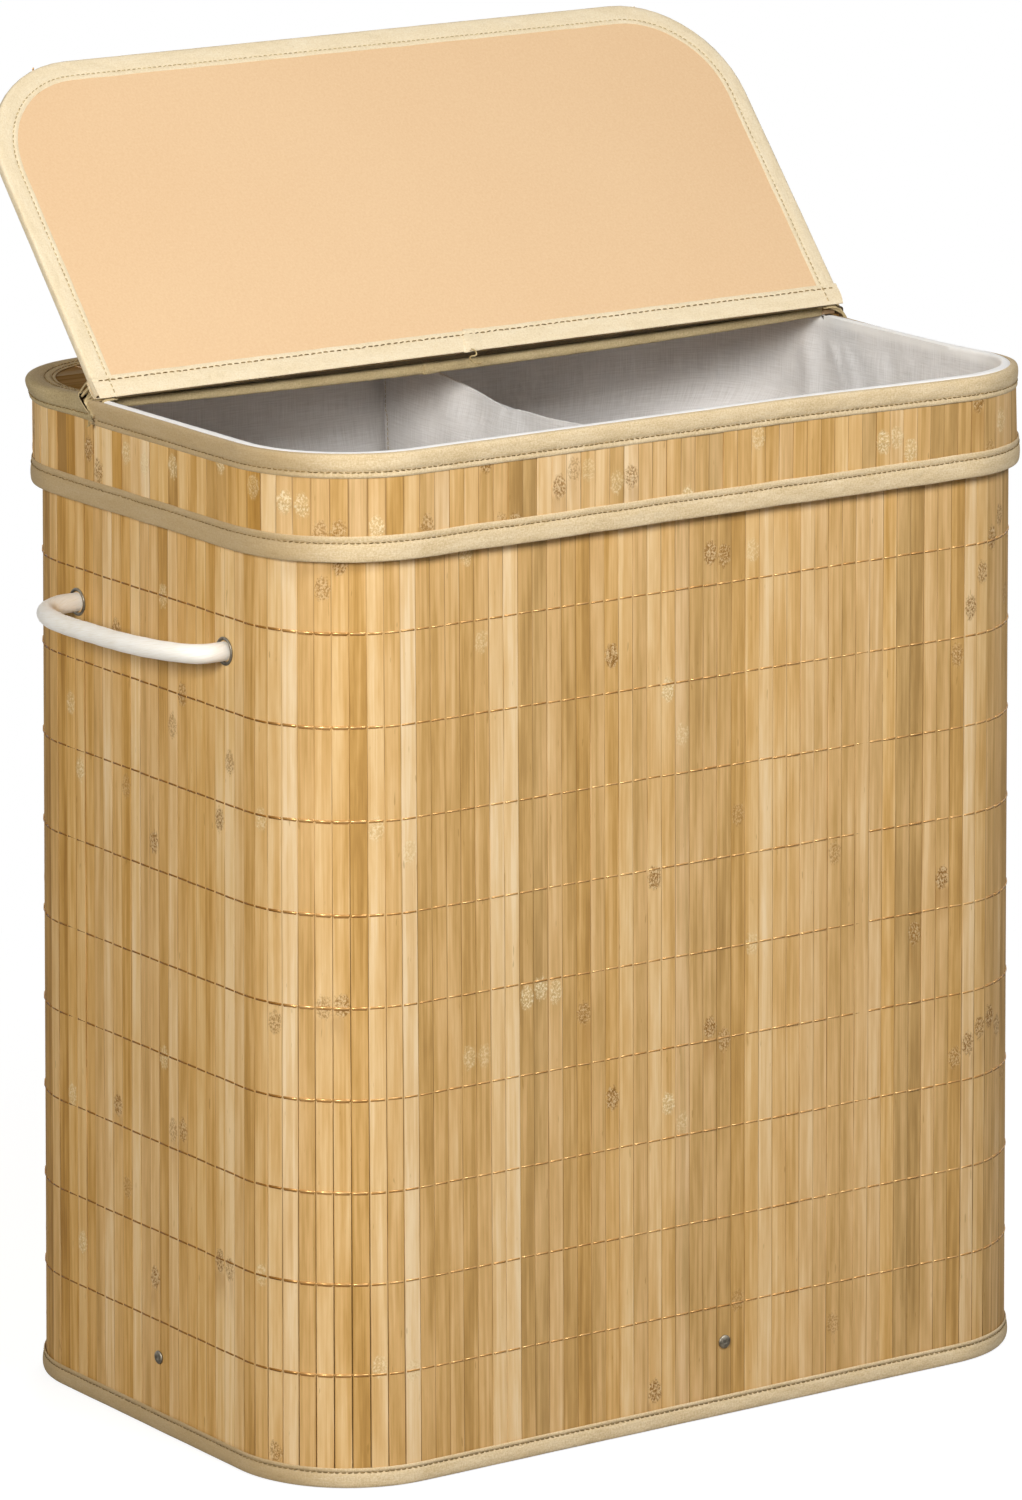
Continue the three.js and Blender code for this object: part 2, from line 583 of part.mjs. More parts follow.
const dividerBottomZ = BAG_FLOOR_Z + CLOTH_THICKNESS + FIT_GAP;
const dividerLowY = BODY_DEPTH / 2 - BAG_FRONT_INSET - CLOTH_THICKNESS - FIT_GAP;
const dividerHighY = BODY_DEPTH / 2 + BAG_TOP_INNER - FIT_GAP;
const dividerEdge = Array.from({ length: SAG_STEPS + 1 }, (_, i) => {
  const across = 1 - 2 * i / SAG_STEPS;
  const z = DIVIDER_TOP_Z - DIVIDER_SAG * (1 - across * across);
  return new THREE.Vector2(dividerHighY * across, z);
});
add('liner_divider', alongX([
  new THREE.Vector2(-dividerLowY, dividerBottomZ),
  new THREE.Vector2(dividerLowY, dividerBottomZ),
  new THREE.Vector2(dividerLowY, BAG_STEP_BOTTOM_Z),
  new THREE.Vector2(dividerHighY, BAG_STEP_TOP_Z),
  ...dividerEdge,
  new THREE.Vector2(-dividerHighY, BAG_STEP_TOP_Z),
  new THREE.Vector2(-dividerLowY, BAG_STEP_BOTTOM_Z),
], DIVIDER_X - DIVIDER_THICKNESS / 2, DIVIDER_X + DIVIDER_THICKNESS / 2), FINISHES.cotton);

// Lid band, cut down at the back to carry the rear panel
const BAND_MAT_BOTTOM_Z = BAND_BOTTOM_Z + LOWER_TAPE_THICKNESS + STACK_GAP;
const BAND_MAT_TOP_Z = RIM_TOP_Z - TAPE_THICKNESS - STACK_GAP;
const panelSpace = boxBetween(
  [-FAR_X, PANEL_FRONT_Y - FIT_GAP, PANEL_UNDER_Z - STACK_GAP], [FAR_X, FAR_Y, HIGH_Z]);
add('band_slats',
  cut(wrappedMat(BAND_SLAT_OUTER, BAND_SLAT_INNER, BAND_MAT_BOTTOM_Z, BAND_MAT_TOP_Z), panelSpace),
  FINISHES.bamboo);
add('band_backing',
  cut(upright(wallOutline(BAND_BACKING_OUTER), wallOutline(BAND_BACKING_INNER),
    BAND_MAT_BOTTOM_Z, BAND_MAT_TOP_Z), panelSpace),
  FINISHES.board);
const LOWER_TAPE_OUTER = BAND_TAPE_INNER + LOWER_TAPE_THICKNESS;
const LOWER_TAPE_ROUND = LOWER_TAPE_THICKNESS / 2;
add('band_lower_binding', ringSweep([
  [BAND_LINING_INNER, BAND_BOTTOM_Z],
  [LOWER_TAPE_OUTER - LOWER_TAPE_ROUND, BAND_BOTTOM_Z],
  [LOWER_TAPE_OUTER, BAND_BOTTOM_Z + LOWER_TAPE_ROUND],
  [LOWER_TAPE_OUTER, BAND_BOTTOM_Z + BAND_TAPE_HEIGHT - LOWER_TAPE_ROUND],
  [LOWER_TAPE_OUTER - LOWER_TAPE_ROUND, BAND_BOTTOM_Z + BAND_TAPE_HEIGHT],
  [BAND_TAPE_INNER, BAND_BOTTOM_Z + BAND_TAPE_HEIGHT],
  [BAND_TAPE_INNER, BAND_BOTTOM_Z + LOWER_TAPE_THICKNESS],
  [BAND_LINING_OUTER, BAND_BOTTOM_Z + LOWER_TAPE_THICKNESS],
  [BAND_LINING_OUTER, BAND_BOTTOM_Z + BAND_TAPE_LIP],
  [BAND_LINING_INNER, BAND_BOTTOM_Z + BAND_TAPE_LIP],
]), FINISHES.tape);

const RIM_BEVEL = TAPE_THICKNESS / 2;
const frontRim = ringSweep([
  [BAND_LINING_INNER, RIM_TOP_Z - BAND_TAPE_LIP],
  [BAND_LINING_OUTER, RIM_TOP_Z - BAND_TAPE_LIP],
  [BAND_LINING_OUTER, RIM_TOP_Z - TAPE_THICKNESS],
  [BAND_TAPE_INNER, RIM_TOP_Z - TAPE_THICKNESS],
  [BAND_TAPE_INNER, RIM_TOP_Z - BAND_TAPE_HEIGHT],
  [BAND_TAPE_OUTER, RIM_TOP_Z - BAND_TAPE_HEIGHT],
  [BAND_TAPE_OUTER, RIM_TOP_Z - RIM_BEVEL],
  [BAND_TAPE_OUTER - RIM_BEVEL, RIM_TOP_Z],
  [BAND_LINING_INNER + RIM_BEVEL, RIM_TOP_Z],
  [BAND_LINING_INNER, RIM_TOP_Z - RIM_BEVEL],
]);
add('front_rim_binding',
  cut(frontRim, boxBetween([-FAR_X, PANEL_FRONT_Y - FIT_GAP, 0], [FAR_X, FAR_Y, HIGH_Z])),
  FINISHES.tape);

// Fixed rear panel: lining, board and slats, bound over its edge and along its front
const REAR_TAPE_BOTTOM_Z = PANEL_TOP_Z - REAR_TAPE_HEIGHT;
const FLARE_Z = PANEL_TOP_Z - REAR_FLARE_DROP;
const rearRim = ringSweep([
  [BAND_TAPE_INNER, REAR_TAPE_BOTTOM_Z],
  [BAND_TAPE_OUTER, REAR_TAPE_BOTTOM_Z],
  [BAND_TAPE_OUTER + REAR_FLARE, FLARE_Z],
  [BAND_TAPE_OUTER + REAR_FLARE, PANEL_TOP_Z - REAR_FLARE_DROP / 2],
  [BAND_TAPE_OUTER, PANEL_TOP_Z],
  [BAND_TAPE_OUTER - REAR_FLANGE_WIDTH, PANEL_TOP_Z],
  [BAND_TAPE_OUTER - REAR_FLANGE_WIDTH, PANEL_TAPE_Z],
  [BAND_TAPE_INNER, PANEL_TAPE_Z],
]);
add('rear_rim_binding',
  cut(rearRim, boxBetween([-FAR_X, -FAR_Y, 0], [FAR_X, PANEL_FRONT_Y, HIGH_Z])),
  FINISHES.tape);

function panelOutline(frontY) {
  const keep = wallOutline(BAND_SLAT_OUTER).filter((point) => point.y > frontY);
  const halfX = BODY_WIDTH / 2 + BAND_SLAT_OUTER;
  return [...keep, new THREE.Vector2(-halfX, frontY), new THREE.Vector2(halfX, frontY)];
}

const PANEL_EDGE_Y = PANEL_FRONT_Y + TAPE_THICKNESS + STACK_GAP;
const PANEL_LINING_Y = PANEL_FRONT_Y + EDGE_TAPE_WIDTH + STACK_GAP;
const PANEL_BACK_Y = BODY_DEPTH / 2 + BAND_SLAT_OUTER;
add('rear_panel_lining',
  upright(panelOutline(PANEL_LINING_Y), null, PANEL_UNDER_Z, PANEL_UNDER_Z + TAPE_THICKNESS),
  FINISHES.lining);
add('rear_panel_board',
  upright(panelOutline(PANEL_EDGE_Y), null, PANEL_BOARD_Z, PANEL_BOARD_Z + PANEL_BOARD),
  FINISHES.board);
add('rear_panel_slats',
  flatMat(panelOutline(PANEL_EDGE_Y), PANEL_EDGE_Y, PANEL_BACK_Y, PANEL_SLAT_Z),
  FINISHES.bamboo);

function foldedTape(edgeY, inwardY, low, high) {
  const direction = Math.sign(inwardY - edgeY);
  const inside = edgeY + direction * TAPE_THICKNESS;
  return [
    [edgeY, low], [inwardY, low], [inwardY, low + TAPE_THICKNESS], [inside, low + TAPE_THICKNESS],
    [inside, high - TAPE_THICKNESS], [inwardY, high - TAPE_THICKNESS], [inwardY, high], [edgeY, high],
  ].map(([y, z]) => new THREE.Vector2(y, z));
}

const panelTapeHalf = BODY_WIDTH / 2 + BAND_TAPE_OUTER - REAR_FLANGE_WIDTH - FIT_GAP;
add('rear_panel_binding',
  alongX(foldedTape(PANEL_FRONT_Y, PANEL_FRONT_Y + EDGE_TAPE_WIDTH, PANEL_UNDER_Z, PANEL_TOP_Z),
    -panelTapeHalf, panelTapeHalf),
  FINISHES.tape);

// Flap, modelled closed about its hinge axis with its inner face down, then swung open
const flap = new THREE.Group();
flap.position.set(0, HINGE_Y, HINGE_Z);
flap.rotation.x = -OPEN_ANGLE * Math.PI / 180;
hamper.add(flap);

const FLAP_LOW = -HINGE_DEPTH;
const FLAP_HIGH = FLAP_LOW + FLAP_THICKNESS;
const FLAP_BOARD_Z = FLAP_LOW + TAPE_THICKNESS + STACK_GAP;
const FLAP_SLAT_Z = FLAP_BOARD_Z + FLAP_BOARD + STACK_GAP;

// Outline of the flap seen from above, closed: square at the hinge, round at the front
function flapOutline(inset, hingeY) {
  const halfX = FLAP_WIDTH / 2 - inset;
  const frontY = -FLAP_REACH + inset;
  const radius = FLAP_CORNER_RADIUS - inset;
  const points = [];
  for (const [sign, quarter] of [[-1, 2], [1, 3]]) {
    for (let step = 0; step <= CORNER_STEPS; step += 1) {
      const angle = (quarter + step / CORNER_STEPS) * Math.PI / 2;
      const centreX = sign * (halfX - radius);
      points.push(new THREE.Vector2(
        centreX + radius * Math.cos(angle), frontY + radius + radius * Math.sin(angle)));
    }
  }
  points.push(new THREE.Vector2(halfX, hingeY), new THREE.Vector2(-halfX, hingeY));
  return points;
}

const FLAP_CORE_INSET = TAPE_THICKNESS + STACK_GAP;
const FLAP_CORE_Y = -HINGE_BEVEL - FLAP_CORE_INSET;
const FLAP_PANEL_Y = -EDGE_TAPE_WIDTH - STACK_GAP;
const FLAP_TAPE_INSET = EDGE_TAPE_WIDTH + STACK_GAP;
add('flap_lining',
  upright(flapOutline(FLAP_TAPE_INSET, FLAP_PANEL_Y), null, FLAP_LOW, FLAP_LOW + TAPE_THICKNESS),
  FINISHES.lining, flap);
add('flap_board',
  upright(flapOutline(FLAP_CORE_INSET, FLAP_CORE_Y), null, FLAP_BOARD_Z, FLAP_BOARD_Z + FLAP_BOARD),
  FINISHES.board, flap);
add('flap_slats',
  flatMat(flapOutline(FLAP_CORE_INSET, FLAP_CORE_Y), -FLAP_REACH, FLAP_CORE_Y, FLAP_SLAT_Z),
  FINISHES.bamboo, flap);

const flapBlock = upright(flapOutline(0, -HINGE_BEVEL), null, FLAP_LOW, FLAP_HIGH);
const hingeTapeSpace = boxBetween([-FAR_X, FLAP_PANEL_Y, -FAR_Y], [FAR_X, FAR_Y, FAR_Y]);
const coreSpace = upright(flapOutline(TAPE_THICKNESS, FAR_Y), null,
  FLAP_LOW + TAPE_THICKNESS, FLAP_HIGH - TAPE_THICKNESS);
const middleSpace = upright(flapOutline(EDGE_TAPE_WIDTH, FAR_Y), null, -FAR_Y, FAR_Y);
add('flap_edge_binding', cut(flapBlock, coreSpace, middleSpace, hingeTapeSpace), FINISHES.tape, flap);

const hingeTape = [
  [HINGE_HEEL, FLAP_LOW], [HINGE_HEEL, FLAP_LOW + TAPE_THICKNESS], [-HINGE_BEVEL, FLAP_HIGH],
  [-EDGE_TAPE_WIDTH, FLAP_HIGH], [-EDGE_TAPE_WIDTH, FLAP_HIGH - TAPE_THICKNESS],
  [-HINGE_BEVEL - TAPE_THICKNESS, FLAP_HIGH - TAPE_THICKNESS],
  [-HINGE_BEVEL - TAPE_THICKNESS, FLAP_LOW + TAPE_THICKNESS],
  [-EDGE_TAPE_WIDTH, FLAP_LOW + TAPE_THICKNESS], [-EDGE_TAPE_WIDTH, FLAP_LOW],
].map(([y, z]) => new THREE.Vector2(y, z));
add('flap_hinge_binding', alongX(hingeTape, -FLAP_WIDTH / 2, FLAP_WIDTH / 2), FINISHES.tape, flap);

export default hamper;
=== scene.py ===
"""Laundry hamper with two bins: bamboo slat mats, sewn tape bindings, a cotton bag and rope handles.

The frame is in metres, +Z up, with the front towards -Y. Shapes are worked out in millimetres, and skin()
turns them to metres. The flap stands open, leaning back, as in the photograph.
"""

import math

import bpy
import numpy as np
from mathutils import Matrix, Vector


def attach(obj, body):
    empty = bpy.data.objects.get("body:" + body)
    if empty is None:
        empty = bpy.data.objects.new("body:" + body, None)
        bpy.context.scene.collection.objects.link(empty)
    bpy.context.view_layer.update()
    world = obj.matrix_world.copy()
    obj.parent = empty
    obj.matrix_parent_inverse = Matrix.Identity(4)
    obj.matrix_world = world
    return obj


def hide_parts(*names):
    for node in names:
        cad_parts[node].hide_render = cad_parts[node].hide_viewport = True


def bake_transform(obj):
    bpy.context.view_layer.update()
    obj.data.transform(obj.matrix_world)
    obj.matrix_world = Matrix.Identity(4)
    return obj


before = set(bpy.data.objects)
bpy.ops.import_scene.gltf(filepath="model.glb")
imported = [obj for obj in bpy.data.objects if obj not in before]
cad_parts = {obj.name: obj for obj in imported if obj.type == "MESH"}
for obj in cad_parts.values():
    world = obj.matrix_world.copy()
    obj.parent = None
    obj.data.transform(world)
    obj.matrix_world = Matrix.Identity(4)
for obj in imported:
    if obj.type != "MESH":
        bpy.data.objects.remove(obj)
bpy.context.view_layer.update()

MM = 0.001
rng = np.random.default_rng(7)

# Body and its outline
WIDTH, DEPTH, CORNER = 551.0, 350.0, 73.5
HALF_X, HALF_Y = WIDTH / 2 - CORNER, DEPTH / 2 - CORNER
ARC = CORNER * math.pi / 2
PARTS = np.array([2 * HALF_X, ARC, 2 * HALF_Y, ARC] * 2)
PART_ENDS = np.cumsum(PARTS)
PERIMETER = PART_ENDS[-1]
ALL_ROUND = np.arange(420) * PERIMETER / 420
MAT_BOTTOM, MAT_TOP = 1.0, 622.2
WALL_TOP = 623.0
RIM_TOP = 630.0
FOOT_OUT = 4.0
WALL_LEAN = 0.009

# Slats and their thread
SLAT_COUNT = 161
SLAT_THICKNESS = 1.8
SLAT_WIDTH = PERIMETER / SLAT_COUNT
ROW_PITCH = 56.47
ROW_TOP = 521.9
THREAD_RADIUS = 0.6
THREAD_FLAT = 0.4
THREAD_TIP = math.radians(19)
THREAD_SLACK = 1.1
SLAT_GAP = 0.09
KNUCKLE_LOW, KNUCKLE_SPAN, KNUCKLE_MARGIN = 10, 300, 8
KNUCKLE_GAP, LONG_SLAT = (240, 330), 400

# Lid
BAND_BOTTOM = 565.0
BAND_OUT = 4.5
BAND_BOARD = np.array([1.9, 2.6, 2.6, 1.9])
STRIP_FRONT = 58.0
STRIP_UNDER, STRIP_TOP = 623.4, 629.0
STRIP_SAG = 4.5
FRONT_DIP, RIGHT_DIP = 2.0, 5.2
RIGHT_LEAN = 0.034
FLAP_HALF = 278.5
FLAP_REACH = 235.5
FLAP_CORNER = 74.0
FLAP_LOW, FLAP_HIGH = -1.0, 4.6
HINGE_Y, HINGE_Z = 49.7, 631.35
OPEN_ANGLE = math.radians(131)

# Tapes and their stitches
TAPE = 14.0
TAPE_SEAM = 2.6
TAPE_WAVE, TAPE_DRIFT = 0.22, 0.35
STITCH_SHARE = 0.74

# Bag
CLOTH = 1.1
BAG_FACE = -5.5
BAG_HALF_X, BAG_HALF_Y, BAG_CORNER = WIDTH / 2 - 27, DEPTH / 2 - 10, 55.0
BAG_STEP_LOW, BAG_STEP_HIGH = 530.0, 574.0
DIVIDER_X = 6.0
HEM_DIP = 0.75

# Rope handles
HANDLE_Z, HANDLE_HALF = 501.0, 82.0
ROPE_RADIUS, ROPE_AXIS_OUT, ROPE_REACH, ROPE_DROOP, ROPE_POWER = 5.8, 8.0, 31.5, 1.6, 2.8
ROPE_SKEW = 0.16
ROPE_SIDES = 20

# Rivets
RIVET_Z, RIVET_X, RIVET_Y = 47, 22, -8


# Camera, where the photograph was taken from

YAW, PITCH = math.radians(34.773), math.radians(13.491)
camera_data = bpy.data.cameras.new("camera")
camera = bpy.data.objects.new("camera", camera_data)
bpy.context.scene.collection.objects.link(camera)
bpy.context.scene.camera = camera
look = Vector((math.sin(YAW) * math.cos(PITCH), math.cos(YAW) * math.cos(PITCH), -math.sin(PITCH)))
camera.location = (-2.8100, -4.0285, 1.5657)
camera.rotation_euler = look.to_track_quat("-Z", "Y").to_euler()
camera_data.sensor_width = 36
camera_data.lens = 195.92
camera_data.clip_start, camera_data.clip_end = 0.1, 50


# Curves and outlines, in millimetres


def stack(*values):
    """Coordinates broadcast together and joined along a last axis."""
    return np.stack(np.broadcast_arrays(*[np.asarray(v, float) for v in values]), -1)


def ease(value, low, high):
    """From 0 to 1 as a value goes from low to high: 3 times the share's square less twice its cube."""
    share = np.clip((np.asarray(value, float) - low) / (high - low), 0, 1)
    return share * share * (3 - 2 * share)


def outline(distance, half_x=HALF_X, half_y=HALF_Y):
    """Core point and outward normal at distances round the wall: straights along a rectangle, and quarter
    turns at its corners, from the front's left end and anticlockwise seen from above."""
    d = np.mod(distance, PERIMETER)
    part = np.searchsorted(PART_ENDS, d, side="right") % len(PARTS)
    share = (d - (PART_ENDS[part] - PARTS[part])) / PARTS[part]
    side, turning = part // 2, part % 2 == 1
    angle = (side - 1 + np.where(turning, share, 0)) * math.pi / 2
    corners = np.array([[-1, -1], [1, -1], [1, 1], [-1, 1]]) * [half_x, half_y]
    along = np.where(turning, 1, share)[..., None]
    core = corners[side] * (1 - along) + corners[(side + 1) % 4] * along
    return core, stack(np.cos(angle), np.sin(angle))


def wall_points(distance, out, z, half_x=HALF_X, half_y=HALF_Y, radius=CORNER):
    """Points at distances round the wall, a way out from its face, at a height."""
    core, normal = outline(distance, half_x, half_y)
    plan = core + normal * (radius + np.asarray(out, float))[..., None]
    return stack(plan[..., 0], plan[..., 1], z)


def right_distance(y):
    """Distance round the wall of a place on the right side."""
    return PART_ENDS[1] + y + HALF_Y


def left_distance(y):
    """Distance round the wall of a place on the left side."""
    return PART_ENDS[5] + HALF_Y - y


def wall_out_at(z):
    """How far the wall's face stands out at a height: its foot a little out and its top a little in."""
    return FOOT_OUT - WALL_LEAN * z


def right_dip(distance):
    """How far the front rim hangs down at the right: a little at the front's end, and most at the strip."""
    d, front_end = np.mod(distance, PERIMETER), PART_ENDS[0]
    down = (FRONT_DIP * ease(d, front_end - 150, front_end + 20)
            + RIGHT_DIP * ease(d, front_end, right_distance(-40)))
    return down * (d < right_distance(STRIP_FRONT))


def right_lean(distance):
    """How far the band leans in for each millimetre up, on the right side: from nothing at the front to most,
    and back to nothing at the rear strip."""
    d, front_end = np.mod(distance, PERIMETER), PART_ENDS[0]
    return (RIGHT_LEAN * ease(d, front_end - 10, front_end + 70)
            * ease(d, right_distance(50), right_distance(0)))


def soften(path, rounds=2):
    """Corner cutting: each inner corner gives way to points a quarter in from both its neighbours."""
    path = np.asarray(path, float)
    for _ in range(rounds):
        a, b = path[:-1], path[1:]
        cut = np.stack([a * 0.75 + b * 0.25, a * 0.25 + b * 0.75], 1).reshape(-1, path.shape[1])
        path = np.concatenate([path[:1], cut[1:-1], path[-1:]])
    return path


def lengths(path):
    """Length along a path at each of its points."""
    return np.concatenate([[0], np.cumsum(np.linalg.norm(np.diff(path, axis=0), axis=1))])


def closed_lengths(section):
    """Length round a closed section at each of its points, and back at the first."""
    return lengths(np.concatenate([section, section[:1]]))


def unit(vectors):
    """Vectors brought to a length of 1."""
    return vectors / np.linalg.norm(vectors, axis=-1, keepdims=True)


def headings(path):
    """Unit vectors along a path."""
    return unit(np.gradient(np.asarray(path, float), axis=0))


def circles(middle, top, side, radius, count, flat=1.0):
    """Circles round points: radius times a cosine along top, pressed by flat, and times a sine along side."""
    angle = (np.arange(count) * 2 * math.pi / count)[:, None]
    return middle[..., None, :] + radius * (
        flat * np.cos(angle) * top[..., None, :] + np.sin(angle) * side[..., None, :])


def folded(path, thickness, rounds=2):
    """Closed section of a folded tape: the path of its outer face, softened, and the same path moved to its
    left by the thickness, or to its right where that is below 0, taken back."""
    path = soften(path, rounds)
    way = headings(path)
    inward = np.stack([-way[:, 1], way[:, 0]], 1)
    return np.concatenate([path, (path + inward * thickness)[::-1]])


def ripple(distance, seed, period=PERIMETER, waves=(5, 9, 14, 23, 37)):
    """Soft unevenness of sewn cloth: a sum of sines of whole counts round a period, from about -1 to 1."""
    dice = np.random.default_rng(seed)
    total = sum(dice.uniform(0.4, 1) * np.sin(2 * math.pi * n * distance / period + dice.uniform(0, 6.3))
                for n in waves)
    return total / len(waves) * 1.4


def opened(points):
    """Takes points of the closed flap, from its hinge axis, to where they are with the flap open."""
    x, y, z = np.moveaxis(np.asarray(points, float), -1, 0)
    c, s = math.cos(-OPEN_ANGLE), math.sin(-OPEN_ANGLE)
    return stack(x, HINGE_Y + y * c - z * s, HINGE_Z + y * s + z * c)


def hung(points):
    """Points of the lid's rear strip, lowered by its sag: most at the middle of its front edge, none at its
    ends and back."""
    points = np.asarray(points, float)
    across = np.clip(1 - (points[..., 0] / 268) ** 2, 0, 1)
    back = np.clip((165 - points[..., 1]) / (165 - STRIP_FRONT), 0, 1)
    down = STRIP_SAG * across * back ** 1.3
    return points - stack(0 * down, 0 * down, down)


def tube(path, radius, sides, up=(0, 0, 1)):
    """Rings round a path: each a circle square to the path, whose first side looks along up."""
    path = np.asarray(path, float)
    way = headings(path)
    side = unit(np.cross(way, np.broadcast_to(np.asarray(up, float), way.shape)))
    return circles(path, np.cross(side, way), side, np.broadcast_to(radius, len(path))[:, None, None], sides)


def turned(profile, sides, centre, outward):
    """Rings of a profile of (radius, way out) points round an axis that looks outward from a centre."""
    outward = np.asarray(outward, float)
    across = np.array([-outward[1], outward[0], 0])
    angle = np.arange(sides) * 2 * math.pi / sides
    circle = np.cos(angle)[:, None] * across + np.sin(angle)[:, None] * np.array([0, 0, 1])
    profile = np.asarray(profile, float)
    way_out, way_on = profile[:, 0, None, None] * circle, profile[:, 1, None, None] * outward
    return np.asarray(centre, float) + way_out + way_on


def evenly(path, step):
    """The same path with points at even steps."""
    run = lengths(path)
    at = np.linspace(0, run[-1], int(run[-1] / step))
    return np.stack([np.interp(at, run, path[:, n]) for n in range(3)], 1)


# Meshes


def skin(name, points, uv=None, loop=(False, True), capped=False, values=None, sharp=40):
    """Faces between neighbours in a grid of points [piece, row, column], or [row, column] for one piece.
    loop says whether the rows and the columns close on themselves, and capped closes the first and last row.
    A closed shape whose volume comes out negative is turned outside out."""
    points = np.asarray(points, float)
    if points.ndim == 3:
        points = points[None]
    count, rows, columns = points.shape[:3]
    cells = rows - (not loop[0]), columns - (not loop[1])
    k, i, j = np.meshgrid(np.arange(count), np.arange(cells[0]), np.arange(cells[1]), indexing="ij")
    ends = [(i, j), (i, j + 1), (i + 1, j + 1), (i + 1, j)]
    faces = [np.stack([(k * rows + a % rows) * columns + b % columns for a, b in ends], -1)
             .reshape(-1, 4)]
    spots = [np.stack([stack(k, a, b) for a, b in ends], -2).reshape(-1, 4, 3)]
    if capped:
        ring = np.arange(columns)
        each = np.arange(count)[:, None]
        for row, order in ((0, ring[::-1]), (rows - 1, ring)):
            faces.append((each * rows + row) * columns + order)
            spots.append(stack(each, row, order))
    flat = points.reshape(-1, 3) * MM
    if loop[1] and (capped or loop[0]):
        volume = sum((np.cross(flat[f[:, 1:-1]], flat[f[:, 2:]]) * flat[f[:, :1]]).sum() for f in faces)
        if volume < 0:
            faces, spots = [f[:, ::-1] for f in faces], [s[:, ::-1] for s in spots]
    mesh = bpy.data.meshes.new(name)
    mesh.vertices.add(len(flat))
    mesh.vertices.foreach_set("co", flat.ravel())
    corners = np.concatenate([f.ravel() for f in faces]).astype(np.int32)
    sizes = np.concatenate([np.full(len(f), f.shape[1]) for f in faces])
    mesh.loops.add(len(corners))
    mesh.loops.foreach_set("vertex_index", corners)
    mesh.polygons.add(len(sizes))
    starts = np.concatenate([[0], np.cumsum(sizes)[:-1]])
    mesh.polygons.foreach_set("loop_start", starts.astype(np.int32))
    mesh.update(calc_edges=True)
    if uv is not None:
        spread = np.broadcast_to(uv, (count, rows + loop[0], columns + loop[1], 2))
        spot = np.concatenate([s.reshape(-1, 3) for s in spots]).astype(int)
        layer = mesh.uv_layers.new(name="cloth")
        layer.data.foreach_set("uv", spread[spot[:, 0], spot[:, 1], spot[:, 2]].astype(np.float32).ravel())
    for key, value in (values or {}).items():
        spread = np.broadcast_to(np.asarray(value, float)[:, None, None, :], (count, rows, columns, 3))
        attribute = mesh.attributes.new(key, "FLOAT_VECTOR", "POINT")
        attribute.data.foreach_set("vector", spread.astype(np.float32).ravel())
    mesh.shade_smooth()
    mesh.set_sharp_from_angle(angle=math.radians(sharp))
    piece = bpy.data.objects.new(name, mesh)
    bpy.context.scene.collection.objects.link(piece)
    return piece


def fitted(piece, body, finish, slot, *replaced):
    """Gives a piece its finish, stands it for CAD nodes, and lets it ride on its body; slot is not used."""
    piece.data.materials.clear()
    piece.data.materials.append(finish)
    if replaced:
        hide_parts(*replaced)
    if body:
        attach(piece, body)
    return piece


# Shader graphs


class Socket:
    """An output of a shader node, on which sums and comparisons add their own nodes."""

    def __init__(self, graph, owner, output):
        self.graph, self.owner, self.output = graph, owner, output

    def maths(self, operation, *values):
        return self.graph.node("ShaderNodeMath", {"operation": operation}, dict(enumerate((self, *values))))

    def __add__(self, other):
        return self.maths("ADD", other)

    __radd__ = __add__

    def __sub__(self, other):
        return self.maths("SUBTRACT", other)

    def __rsub__(self, other):
        return self.graph.node("ShaderNodeMath", {"operation": "SUBTRACT"}, {0: other, 1: self})

    def __mul__(self, other):
        return self.maths("MULTIPLY", other)

    __rmul__ = __mul__

    def __pow__(self, other):
        return self.maths("POWER", other)

    def __abs__(self):
        return self.maths("ABSOLUTE")

    def larger(self, other):
        return self.maths("MAXIMUM", other)

    def step(self, low, high, start=0.0, end=1.0):
        """From start to end, smoothly, as the value goes from low to high."""
        inputs = {"Value": self, "From Min": low, "From Max": high, "To Min": start, "To Max": end}
        return self.graph.node("ShaderNodeMapRange", {"interpolation_type": "SMOOTHSTEP"}, inputs)

    def other(self, number):
        """Another output of the same node."""
        return Socket(self.graph, self.owner, self.owner.outputs[number])

    def parts(self):
        split = self.graph.node("ShaderNodeSeparateXYZ", None, {0: self})
        return split, split.other(1), split.other(2)


